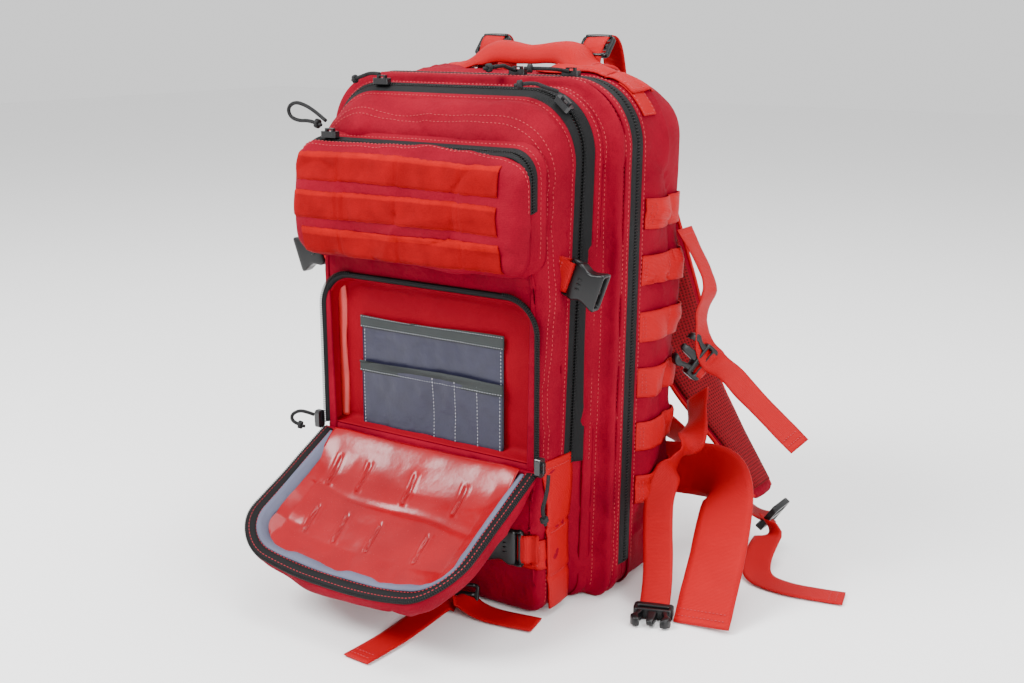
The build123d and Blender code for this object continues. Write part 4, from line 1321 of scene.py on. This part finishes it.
def female_buckle(name):
    """Female half of a side-release buckle along +X, its web bar on the Z axis at the origin."""
    shape = [(3.5, 12.6, 3.2), (4.2, 14.4, 4.4), (6, 15.4, 5.0), (9.5, 15.6, 5.4), (12.5, 14.0, 5.8),
             (16, 12.4, 6.0), (20, 12.6, 6.1), (24, 14.0, 6.1), (28, 15.6, 6.1), (30.4, 15.9, 6.0),
             (31, 15.3, 5.5), (30.8, 13.6, 4.2), (30, 13.0, 3.8), (22, 12.0, 3.5), (12, 10.5, 3.2)]
    rings = []
    for x, half, deep in shape:
        outline = rounded(2 * deep, 2 * half, min(deep - 0.4, 2.4), 7)
        rings.append([(x, p[0], p[1]) for p in outline])
    parts = [loft(name, rings, plastic)]
    for z in (14.6, -14.6):
        cheek = [(-1.4, 0, z), (1.0, 0, z), (4.5, 0, z * 0.98), (8.0, 0, z * 0.95)]
        parts.append(tube(name, cheek, [2.6, 3.3, 3.4, 3.0], plastic, sides=12, squash=0.5))
    for y in (6.0, -6.0):
        for z in (-4, 0, 4):
            grip = [(x, y, z) for x in np.linspace(10.5, 14.5, 5)]
            parts.append(tube(name, grip, [0.3, 0.7, 0.8, 0.7, 0.3], plastic, sides=8))
    parts.append(tube(name, [(20, 0, 0), (24, 0, 0), (29.2, 0, 0)], [2.4, 2.4, 1.8], plastic, sides=10))
    parts.append(tube(name, [(0, 0, z) for z in np.linspace(-14.5, 14.5, 8)], 2.5, plastic, sides=14))
    return joined(name, parts)


def male_buckle(name):
    """Male half along +Z: a frame for the web, a middle guide and two springy arms."""
    slot = shifted(rounded(26.4, 4.6, 1.6), 0, 1.6)
    parts = [plate(name, [rounded(33, 14.5, 3.4), slot], 9.0, 1.2, face="XZ")]
    bar = [(x, -1.0, -5.2) for x in np.linspace(-13.5, 13.5, 8)]
    parts.append(tube(name, bar, 2.5, plastic, sides=12))
    rings = []
    for z, w, d in ((5, 9, 7.6), (9, 7.6, 6.6), (20, 6.6, 6.0), (24, 5.0, 4.0), (24.8, 3.2, 2.4)):
        rings.append([(p[0], p[1], z) for p in rounded(w, d, 1.1)])
    parts.append(loft(name, rings, plastic))
    for side in (1, -1):
        rings = []
        for z, x, w, d in ((4, 10.5, 7.4, 8.0), (8, 10.6, 5.2, 7.8), (12, 11.4, 4.2, 7.6), (15, 12.8, 4.4, 7.8),
                           (17.5, 13.6, 6.2, 8.2), (20, 13.2, 6.6, 8.2), (23, 11.6, 6.0, 7.4),
                           (25, 10.4, 4.0, 5.6)):
            rings.append([(side * x + p[0], p[1], z) for p in rounded(w, d, 1.2)])
        parts.append(loft(name, rings, plastic))
    return joined(name, parts)


def web_wrap(name, matrix, body, width=25.0):
    """Webbing turned round the bar of a male buckle."""
    angles = np.radians(np.arange(-30, 331, 20))
    line = np.array([(0, -1.0 + 3.7 * math.cos(a), -5.0 + 4.6 * math.sin(a)) for a in angles])
    made = ribbon(name, [(p, (1, 0, 0)) for p in line], width, webbing, None, thickness=1.5,
                  through=line, step=1.5)[0]
    moved(made, matrix)
    if body:
        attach(made, body)
    return made


def ladder_lock(name, width=33.0, height=26.0, thickness=7.0):
    """Flat adjuster with two web slots and a raised, ribbed lip."""
    slot_width, gap = width - 7, height * 0.24
    slots = [shifted(rounded(slot_width, gap, 1.4), 0, s * height * 0.24) for s in (1, -1)]
    outer = rounded(width, height, 4.0)
    outer = [(x * (1 - 0.05 * math.cos(math.pi * y / height)), y) for x, y in outer]
    parts = [plate(name, [outer] + slots, thickness * 0.62, 0.9)]
    lip = [(x, height / 2 - 1.0, thickness * 0.36 + 0.6 * math.cos(x / 9)) for x in
           np.linspace(-width / 2 + 4, width / 2 - 4, 16)]
    parts.append(tube(name, lip, 1.7, plastic, sides=12, squash=0.8))
    for y in (-height / 2 + 1.6, 0.0):
        bar = [(x, y, thickness * 0.18) for x in np.linspace(-width / 2 + 4, width / 2 - 4, 8)]
        parts.append(tube(name, bar, 1.9, plastic, sides=10, squash=0.8))
    return joined(name, parts)


def pair(right, name, body, slot, *nodes):
    """A piece and its mirror image on one body, of which the first stands for the solids."""
    left = mirrored(right, name)
    for piece in (right, left):
        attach(piece, body)
    if nodes:
        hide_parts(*nodes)
    return left


def hardware(made, body, *nodes):
    """Places a finished fitting on its body, for its solids."""
    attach(made, body)
    if nodes:
        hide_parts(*nodes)
    return made


# Side buckles on their webs, and the lower buckles

upper_right = moved(female_buckle("upper_buckle_right_body"), placed(126.74, -56, 286, ("Y", 20)))
upper_left = mirrored(upper_right, "upper_buckle_left_body")
hardware(upper_right, "upper_buckle_right", "upper_buckle_right")
hardware(upper_left, "upper_buckle_left", "upper_buckle_left")


def web_loop(name, matrix, reach=17.0, width=25.4):
    """Webbing sewn down at one end and wrapped round a bar on the Z axis."""
    line = [(-reach, -3.0, 0), (-reach * 0.6, -3.3, 0), (-5, -3.5, 0)]
    for angle in range(-90, 92, 20):
        turn = math.radians(angle)
        line.append((3.6 * math.cos(turn), 3.6 * math.sin(turn), 0))
    line += [(-5, 3.2, 0), (-8, -0.6, 0), (-reach * 0.75, -1.2, 0), (-reach, -1.2, 0)]
    made = ribbon(name, [(p, (0, 0, 1)) for p in line], width, webbing, None, thickness=1.5,
                  through=np.array(line), step=1.5)[0]
    moved(made, matrix)
    rows = [([(x, -4.2, z) for z in np.linspace(-width / 2 + 2, width / 2 - 2, 8)], vec(0, -1, 0))
            for x in (-8.0, -10.5, -reach + 1.5)]
    seam = moved(stitches(name + "_stitch", rows, thread_red, pitch=3.0, length=2.2, width=0.8), matrix)
    return made, seam


web, seam = web_loop("upper_web_right", placed(126.74, -56, 286, ("Y", 20)))
pair(web, "upper_web_left", "front_panel", "webbing_red", "upper_webs")
pair(seam, "upper_web_left_stitch", "front_panel", "webbing_red")

lower_right = moved(female_buckle("lower_buckle_right"), placed(101, -85.2, 62, ("Z", 180)))
pair(lower_right, "lower_buckle_left", "middle", "buckle_black", "lower_buckles")
web, seam = web_loop("lower_web_right", placed(101, -83.2, 62, ("Z", 180)), 14.0, 24.0)
pair(web, "lower_web_left", "middle", "webbing_red", "lower_webs")
pair(seam, "lower_web_left_stitch", "middle", "webbing_red")
level = []
for side in (1, -1):
    xs, zs = np.linspace(56, 116.5, 34), np.linspace(43.5, 68.5, 8)
    gx, gz = np.meshgrid(xs, zs)
    starts = np.stack([side * gx, np.full(gx.shape, -150.0), gz], axis=2)
    landed = laid(front_tree, starts, (0, 1, 0), 1.7)[0]
    landed[..., 1] = np.maximum(landed[..., 1], -80.5 + 0 * gx)
    made = sheet(f"lower_level_web_{'right' if side > 0 else 'left'}", landed, webbing, "middle",
                 thickness=1.5, inside=(0, -50, 60))
    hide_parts("lower_webs")
    for column in (2, 31):
        level.append((landed[1:-1, column], vec(0, -1, 0)))
seam = stitches("lower_level_web_stitch", level, thread_red, "middle", pitch=3.0, length=2.2, width=0.8)


# Top patch, handle and load lifters

def corner_point(run, y, lift):
    """Where a run along the outline from x 60 lands on the rear half's top and shoulder."""
    if run < 36:
        start, way = vec(60 + run, y, 480), vec(0, 0, -1)
    else:
        turn = min((run - 36) / 52, 1.35)
        way = -vec(math.sin(turn), 0, math.cos(turn))
        start = vec(96, y, 382) - way * 90
    return land(rear_tree, start, way, lift)


patch_seams = []
for index, (low, high, near, far, lift) in enumerate(((60, 94, 28, 47, 1.5), (-20, 74, 29, 66, 2.9))):
    runs, ys = np.linspace(low, high, 60), np.linspace(near, far, 14)
    found = [[corner_point(run, y, lift) for run in runs] for y in ys]
    grid = np.array([[f[0] for f in row] for row in found])
    facing = np.array([[f[1] for f in row] for row in found])
    made = sheet(f"top_patch_{index + 1}", grid, webbing, "root", thickness=1.3)
    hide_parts("top_patch")
    for row in (1, -2):
        patch_seams.append((grid[row, 1:-1], facing[row, 1:-1]))
    for column in (2, -3):
        patch_seams.append((grid[1:-1, column], facing[1:-1, column]))
seam = stitches("top_patch_stitch", patch_seams, thread_red, "root")

stations = [((-80, 74, 435.9), (0, 1, 0)), ((-66, 75, 436.6), (0, 1, 0.05)),
            ((-54, 75, 442), (0, 1, 0.3)), ((-44, 75, 450), (0, 1, 0.7)), ((-28, 76, 454), (0, 1, 0.9)),
            ((3, 76, 449.5), (0, 1, 0.9)), ((34, 76, 454), (0, 1, 0.9)), ((50, 75, 450), (0, 1, 0.7)),
            ((60, 75, 441), (0, 1, 0.3)), ((72, 75, 437.2), (0, 1, 0.05)), ((84, 74, 437), (0, 1, 0))]
widths = [36.0, 36.0, 35, 33, 27, 22, 27, 33, 35, 36.0, 36.0]
handle, line, across, up = ribbon("grab_handle_web", stations, widths, webbing, crown=5.0,
                                  thickness=2.8, ripple=0.6, step=2.0)
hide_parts("grab_handle", "handle_anchors")
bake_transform(handle)
rows = []
for k in (2, 6, len(line) - 7, len(line) - 3):
    ends = [line[k] + across[k] * s * 15.5 + vec(0, 0, 1) * (1.5 + 5.0 * (1 - (s * 15.5 / 18.0) ** 2))
            for s in np.linspace(-1, 1, 12)]
    rows.append((ends, vec(0, 0, 1)))
seam = stitches("grab_handle_stitch", rows, thread_red, "root", pitch=3.0, length=2.2, width=0.8)

LIFTER = [((54, 90, 434.6), (1, 0, 0)), ((54, 92, 442), (1, 0, 0)), ((54, 95, 453), (1, 0, 0)),
          ((55, 101, 463), (1, 0, 0)), ((56, 112, 468), (1, 0, 0)), ((57, 124, 462), (1, 0, 0)),
          ((58, 130, 444), (1, 0, 0)), ((60, 131, 424), (1, 0, 0))]
lifter, line, across, up = ribbon("load_lifter_right", LIFTER, 22.0, webbing, thickness=1.8, ripple=0.9)
pair(lifter, "load_lifter_left", "root", "webbing_red", "load_lifters")
lock = moved(ladder_lock("lifter_lock_right", 33.0, 22.0, 7.0), placed(55, 102, 457, ("X", 48)))
pair(lock, "lifter_lock_left", "root", "buckle_black", "strap_adjusters")


# Shoulder pads

PAD = [((58, 112, 424), (1, 0, 0)), ((64, 128, 408), (1, 0, 0)), ((74, 148, 340), (1, -0.1, 0)),
       ((92, 162, 250), (1, 0.3, 0)), ((122, 168, 158), (0.6, 1, 0)), ((168, 170, 100), (0.1, 1, 0)),
       ((204, 170, 50), (0, 1, 0))]
PAD_WIDTHS = [56, 62, 64, 62, 56, 50, 40]


def pad_frame():
    """The pad's middle line, with its width, across and outward directions."""
    controls = np.array([p for p, a in PAD], float)
    line, runs = resample(route_points(controls), 5.0)
    legs = np.concatenate([[0], np.cumsum(np.linalg.norm(np.diff(controls, axis=0), axis=1))])
    share = runs / runs[-1] * legs[-1]
    across = np.array([unit(a) for p, a in PAD])
    across = np.stack([np.interp(share, legs, across[:, k]) for k in range(3)], axis=1)
    ahead = unit(np.gradient(line, axis=0))
    across = unit(across - ahead * (across * ahead).sum(1, keepdims=True))
    return line, across, np.cross(ahead, across), np.interp(share, legs, PAD_WIDTHS)


def cushion(made, held, cap, frames=20):
    """Fills a padded piece with air against its cloth, its seams held, within cap of where it began."""
    mesh = made.data
    before = np.array([v.co for v in mesh.vertices])
    group = made.vertex_groups.new(name="seam")
    group.add([int(k) for k in held], 1.0, "REPLACE")
    cloth = made.modifiers.new("cloth", "CLOTH")
    cloth.settings.quality = 5
    cloth.settings.mass = 0.25
    cloth.settings.use_pressure = True
    cloth.settings.uniform_pressure_force = 4.0
    cloth.settings.vertex_group_mass = "seam"
    cloth.settings.effector_weights.gravity = 0
    cloth.settings.tension_stiffness = 25
    cloth.settings.compression_stiffness = 25
    cloth.point_cache.frame_start = 1
    cloth.point_cache.frame_end = frames
    scene = bpy.context.scene
    for frame_number in range(1, frames + 1):
        scene.frame_set(frame_number)
    graph = bpy.context.evaluated_depsgraph_get()
    swollen = bpy.data.meshes.new_from_object(made.evaluated_get(graph))
    after = np.array([v.co for v in swollen.vertices])
    bpy.data.meshes.remove(swollen)
    made.modifiers.clear()
    scene.frame_set(1)
    move = after - before
    length = np.linalg.norm(move, axis=1, keepdims=True)
    move = move / np.maximum(length, 1e-9) * cap * MM * np.tanh(length / (cap * MM))
    mesh.vertices.foreach_set("co", (before + move).ravel())
    mesh.update()


def pad_piece(name, line, across, up, widths, thickness, material, quilting):
    """Closed padded strip whose faces sink along its sewn edge and at its quilting lines."""
    rounds = 11
    top = np.linspace(-1, 1, rounds)
    rings = []
    runs = np.arange(len(line)) / (len(line) - 1)
    for k in range(len(line)):
        end = min(runs[k], 1 - runs[k]) * (len(line) - 1) * 5.0
        rounding = math.sqrt(max(1 - (1 - min(end / 9.0, 1)) ** 2, 0.03))
        ring = []
        for side, row in ((1, top), (-1, top[::-1])):
            for s in row:
                full = (1 - abs(s) ** 3.2) ** 0.5 if abs(s) < 1 else 0.0
                height = thickness / 2 * (0.14 + 0.86 * full) * (0.35 + 0.65 * rounding)
                height *= 1 - 0.32 * quilting(runs[k], s)
                place = line[k] + across[k] * s * widths[k] / 2 * (0.86 + 0.14 * rounding)
                ring.append(place + up[k] * side * height)
        rings.append(ring)
    made = loft(name, rings, material)
    held = [v for v in range(len(made.data.vertices))
            if v % (2 * rounds) in (0, rounds - 1, rounds, 2 * rounds - 1)]
    cushion(made, held, 2.2)
    made.modifiers.new("smooth", "SUBSURF").levels = 1
    apply_modifiers(made)
    return made


line, across, up, widths = pad_frame()
pad_right = pad_piece("shoulder_pad_right", line, across, up, widths, 10.0, fabric,
                      lambda run, s: math.exp(-((abs(s) - 0.55) / 0.08) ** 2))
pad_left = mirrored(pad_right, "shoulder_pad_left")
edges = []
for side in (1, -1):
    edges.append(line + across * side * (widths / 2 - 0.5)[:, None])
loop = np.concatenate([edges[0][1:-1], edges[1][-2:0:-1]])
piping = tube("shoulder_piping_right", loop, 1.9, webbing, closed=True, sides=8)
out_sign = 1 if (up[20] @ (line[20] - vec(*BAG_MIDDLE))) > 0 else -1
spine_line = line[4:-3] + up[4:-3] * out_sign * 6.2
spine, line2, across2, up2 = ribbon("shoulder_spine_right", [(p, a) for p, a in
                                    zip(spine_line, across[4:-3])], 25.4, webbing, through=spine_line,
                                    thickness=1.6, ripple=0.3)
inner_rows = []
for s in np.linspace(-0.86, 0.86, 12):
    inner_rows.append(line[2:-2] + across[2:-2] * (s * widths[2:-2] / 2)[:, None]
                      - up[2:-2] * (out_sign * (5.6 * (1 - abs(s) ** 4) + 0.4)))
inner = sheet("shoulder_mesh_right", np.array(inner_rows), mesh_dark, thickness=0.8)
side_rows = [(line2 + across2 * s * 10.3 + out_sign * up2 * 0.9, up2 * out_sign) for s in (1, -1)]
spine_seam = stitches("shoulder_stitch_right", side_rows, thread_red)
for made, slot in ((pad_right, "fabric_red"), (piping, "webbing_red"), (spine, "webbing_red"),
                   (inner, "mesh_red"), (spine_seam, "webbing_red")):
    if made is not pad_right:
        other = mirrored(made, made.name.replace("right", "left"))
        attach(other, "root")
    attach(made, "root")
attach(pad_left, "root")
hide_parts("shoulder_pads")

LOCK = placed(214, 170, 33, ("Z", 90), ("X", -56))
lock = moved(ladder_lock("shoulder_lock_right", 35.0, 28.0, 9.0), LOCK)
pair(lock, "shoulder_lock_left", "root", "buckle_black")


# Back pads

for index, (low, high) in enumerate(((30, 140), (152, 262), (274, 384))):
    zs, xs = np.linspace(low, high, 30), np.linspace(-108, 108, 52)
    gx, gz = np.meshgrid(xs, zs)
    edge = np.minimum(np.minimum(gx + 108, 108 - gx), np.minimum(gz - low, high - gz))
    rise = np.sqrt(np.clip(1 - (1 - np.clip(edge / 12, 0, 1)) ** 2, 0, 1))
    channel = np.exp(-((np.abs(gx) - 36) / 2.6) ** 2) * ease(edge, 2, 12)
    ys = 99.4 + 7.2 * rise - 3.0 * channel
    front = np.stack([gx * (1 - 0.015 * rise), ys, gz], axis=2)
    ring_rows = np.concatenate([front, np.stack([gx, np.full(gx.shape, 98.9), gz], axis=2)[::-1]])
    made = sheet(f"back_pad_{index + 1}", ring_rows, mesh_dark, thickness=0,
                 inside=(0, 99.2, (low + high) / 2))
    if not index:
        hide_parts("back_pads")
    cols = gx.shape[1]
    rows_count = len(ring_rows)
    held = [v for v in range(rows_count * cols)
            if v // cols >= rows_count // 2 or v % cols in (0, cols - 1) or v // cols == 0
            or v // cols == rows_count // 2 - 1]
    cushion(made, held, 2.0)
    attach(made, "root")
    rim = np.concatenate([front[0, :], front[1:, -1], front[-1, -2::-1], front[-2:0:-1, 0]])
    piping_ring = tube(f"back_pad_{index + 1}_piping", rim[::2] + vec(0, 0.4, 0), 1.8, webbing, "root",
                       closed=True, sides=8)


# Straps

def mirror_stations(stations):
    return [((-p[0], p[1], p[2]), (-a[0], a[1], a[2])) for p, a in stations]


UPPER = [((149.6, 95, 306), (-.2, 1, .4)), ((160, 95, 290), (-.25, 1, .3)),
         ((174, 95, 268), (-.2, 1, .2)), ((177, 95, 252), (.1, 1, 0)), ((170, 94, 238), (0, 1, 0)),
         ((170, 93, 227), (-.1, 1, 0)), ((172, 92, 216), (0, 1, 0)), ((175, 92, 203), (.3, .9, 0))]
UPPER_RIGHT = UPPER + [((182, 95, 192), (.7, .9, .2)), ((190, 98, 187), (.3, 1, .3)),
                       ((200, 97, 182), (.3, 1, .3)), ((212, 95, 172), (.3, 1, .3)),
                       ((232, 95, 155), (.2, 1, .3)), ((265, 95, 130), (.2, 1, .3))]
_, line, across, up = cord_strap("side_strap_right", UPPER_RIGHT, WEB_WIDTH, "root", ["side_straps"],
                                     "bare", ripple=0.8)
hem("side_strap_right_hem", line, across, up, WEB_WIDTH, "root", (-3, -5, 2))
UPPER_LEFT = mirror_stations(UPPER) + [((-182, 97, 193), (-.6, 1, .2)), ((-188, 98, 184), (-.3, 1, .3)),
                                       ((-192, 99, 164), (-.3, 1, .1)), ((-188, 100, 134), (-.3, 1, 0)),
                                       ((-177, 102, 106), (-.2, 1, 0))]
_, line, across, up = cord_strap("side_strap_left", UPPER_LEFT, WEB_WIDTH, "root", ["side_straps"],
                                     "bare", ripple=0.8)
hem("side_strap_left_hem", line, across, up, WEB_WIDTH, "root", (-3, -5, 2))
MALE_PLACE = placed(173, 88, 192, ("Z", 55), ("Y", -48))
male = moved(male_buckle("male_buckle_right"), MALE_PLACE)
pair(male, "male_buckle_left", "root", "buckle_black", "male_buckles")
wrap = web_wrap("male_buckle_right_web", MALE_PLACE, None)
mirrored(wrap, "male_buckle_left_web", "root")
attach(wrap, "root")

WEBBING_LINE = [((118, 100.4, 134), (1, 0, 1)), ((138, 117, 115), (1, -.4, .9)),
                ((164, 148, 74), (.3, -1, .4)), ((186, 161, 44), (.2, -1, .2)),
                ((199, 166, 31), (.1, -1, .1)), ((209, 168, 30), (.1, -1, 0))]
web, line, across, up = ribbon("shoulder_web_right", WEBBING_LINE, WEB_WIDTH, webbing, ripple=0.7)
pair(web, "shoulder_web_left", "root", "webbing_red", "shoulder_webbing")

TAIL = [((211, 164, 31), (.1, -1, 0)), ((219, 156, 22), (.3, -1, 0)), ((222, 132, 20), (1, 0, 0)),
        ((224, 110, 10), (1, .2, 0)), ((232, 94, 2.4), (1, .8, 0)), ((256, 88, 1.5), (.2, 1, 0)),
        ((282, 90, 1.5), (0, 1, 0)), ((311, 97, 1.5), (-.2, 1, 0))]
_, line, across, up = cord_strap("shoulder_tail_right", TAIL, WEB_WIDTH, "root", ["shoulder_tail"], "bare")
hem("shoulder_tail_hem", line, across, up, WEB_WIDTH, "root", (-3, -5))


def belt(name, stations, nodes):
    """Wide belt webbing lying where it fell, with its end hemmed."""
    made, line, across, up = ribbon(name, stations, BELT_WIDTH, webbing, "root", thickness=2.2, ripple=1.0,
                                    seed=5)
    if nodes:
        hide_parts(*nodes)
    hem(name + "_hem", line, across, up, BELT_WIDTH, "root", (-3, -5, 2))
    return line


BELT_RIGHT = [((130, 101.5, 84), (0, 0, 1)), ((160, 107, 86), (.1, .1, 1)), ((192, 98, 92), (.3, .4, 1)),
              ((212, 72, 88), (.8, .4, .6)), ((221, 44, 68), (1, .2, .2)), ((228, 12, 34), (1, .1, 0)),
              ((233, -20, 2.5), (1, 0, 0))]
BELT_LEFT = [((-124, 104, 78), (0, 0, 1)), ((-140, 119, 72), (.1, .3, 1)), ((-136, 140, 64), (1, .3, .7)),
             ((-118, 158, 36), (1, .5, .3)), ((-96, 178, 10), (.8, -1, 0)), ((-66, 192, 1.5), (.5, -1, 0)),
             ((-30, 204, 1.5), (.3, -1, 0))]
belt("waist_belt_right", BELT_RIGHT, ["waist_belts"])
belt("waist_belt_left", BELT_LEFT, [])

WAIST = [((155, 122, 152), (.5, .6, 1)), ((166, 102, 140), (.6, .3, 1)), ((172, 80, 122), (.4, 1, .6)),
         ((162, 62, 104), (.2, 1, .6)), ((160, 42, 82), (.9, .7, .2)), ((170, 22, 58), (1, .3, 0)),
         ((180, 6, 32), (1, .2, 0)), ((186, -8, 12), (1, .2, 0)), ((188, -15, 6), (1, .2, 0))]
WAIST_MALE_PLACE = placed(190, -20, 4.3, ("Z", 20), ("X", 90))
waist_male = moved(male_buckle("waist_male"), WAIST_MALE_PLACE)
hardware(waist_male, "root", "male_buckles")
web_wrap("waist_male_web", WAIST_MALE_PLACE, "root")
made, line, across, up = ribbon("waist_strap_web", WAIST, WEB_WIDTH, webbing, "root", ripple=0.8, seed=9)
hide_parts("waist_strap")
waist_female = moved(female_buckle("waist_female"), placed(0, 212, 6.2, ("Z", 18), ("X", 90)))
hardware(waist_female, "root", "waist_female_buckle")
link = [((-46, 199.2, 2.8), (.3, -1, 0)), ((-30, 204, 3.6), (.3, -1, 0)), ((-12, 208.5, 7.6), (.3, -1, 0)),
        ((-2, 211.4, 9.6), (.3, -1, 0)), ((3.4, 213.1, 6.2), (.3, -1, 0)), ((-2, 211.4, 2.6), (.3, -1, 0)),
        ((-12, 208.5, 4.2), (.3, -1, 0))]
link_web, line, across, up = ribbon("waist_buckle_web", link, 25.0, webbing, "root", thickness=1.4, step=1.5)
hem("waist_buckle_web_hem", line, across, up, 25.0, "root", (2, 5))

BOTTOM = [((120, -91, 1.5), (.1, 1, 0)), ((100, -95, 1.5), (0, 1, 0)), ((78, -98, 1.5), (0, 1, 0)),
          ((62, -98, 4), (-.1, 1, 0)), ((52, -97, 9), (.2, 1, 0)), ((44, -99, 10), (.8, .6, 0)),
          ((36, -106, 7), (1, .2, 0)), ((34, -118, 2.4), (1, .1, 0)), ((36, -150, 1.5), (1, 0, 0)),
          ((38, -184, 1.5), (1, 0, 0)), ((36, -218, 1.5), (1, .1, 0))]
_, line, across, up = cord_strap("bottom_strap", BOTTOM, WEB_WIDTH, "middle", ["bottom_straps"], "bare")
hem("bottom_strap_hem", line, across, up, WEB_WIDTH, "middle", (-3, -5))
lock = moved(ladder_lock("bottom_lock", 34.0, 18.0, 6.0), placed(44, -92, 10, ("Z", 20), ("X", 70)))
hardware(lock, "middle")


# CAD solids that are shown as they are

inner_sleeve = woven("sleeve_weave", (0.30, 0.004, 0.02), pitch=0.002, coords="Object")
pocket_mesh = woven("pocket_net", (0.06, 0.06, 0.065), pitch=0.003, coords="Object", strength=0.8)
for name, material in (("frame_sheet", sheet_black), ("hydration_sleeve", inner_sleeve),
                       ("mesh_pocket", pocket_mesh), ("main_slider_left", metal_black),
                       ("main_slider_right", metal_black), ("second_slider_left", metal_black),
                       ("second_slider_right", metal_black), ("upper_slider", metal_black),
                       ("lower_slider_right", metal_black), ("lower_slider_left", metal_black)):
    for solid in [o for o in bpy.data.objects if o.name == name or o.name.startswith(name + ".")]:
        for slot in solid.material_slots:
            slot.material = material


# Floor, room and lamps

floor_mesh = bpy.data.meshes.new("floor")
FLOOR_CORNERS = [(-6, -6, -0.0006), (6, -6, -0.0006), (6, 6, -0.0006), (-6, 6, -0.0006)]
floor_mesh.from_pydata(FLOOR_CORNERS, [], [(0, 1, 2, 3)])
floor = bpy.data.objects.new("floor", floor_mesh)
bpy.context.collection.objects.link(floor)
floor_mesh.materials.append(new_material("floor_white", (0.93, 0.93, 0.93), 0.35)[0])

world = bpy.data.worlds.new("room")
world.use_nodes = True
world.node_tree.nodes["Background"].inputs["Color"].default_value = (1, 1, 1, 1)
world.node_tree.nodes["Background"].inputs["Strength"].default_value = 1.1
bpy.context.scene.world = world
for name, place, size, power in (("key", (-0.9, -1.4, 1.9), 1.0, 105), ("fill", (1.9, -0.6, 1.0), 1.2, 42),
                                 ("top", (0.3, 0.5, 2.2), 1.4, 52)):
    lamp = bpy.data.lights.new(name, "AREA")
    lamp.energy = power
    lamp.size = size
    made = bpy.data.objects.new(name, lamp)
    bpy.context.collection.objects.link(made)
    made.location = place
    made.rotation_mode = "QUATERNION"
    made.rotation_quaternion = (Vector((0, 0, 0.2)) - made.location).to_track_quat("-Z", "Y")
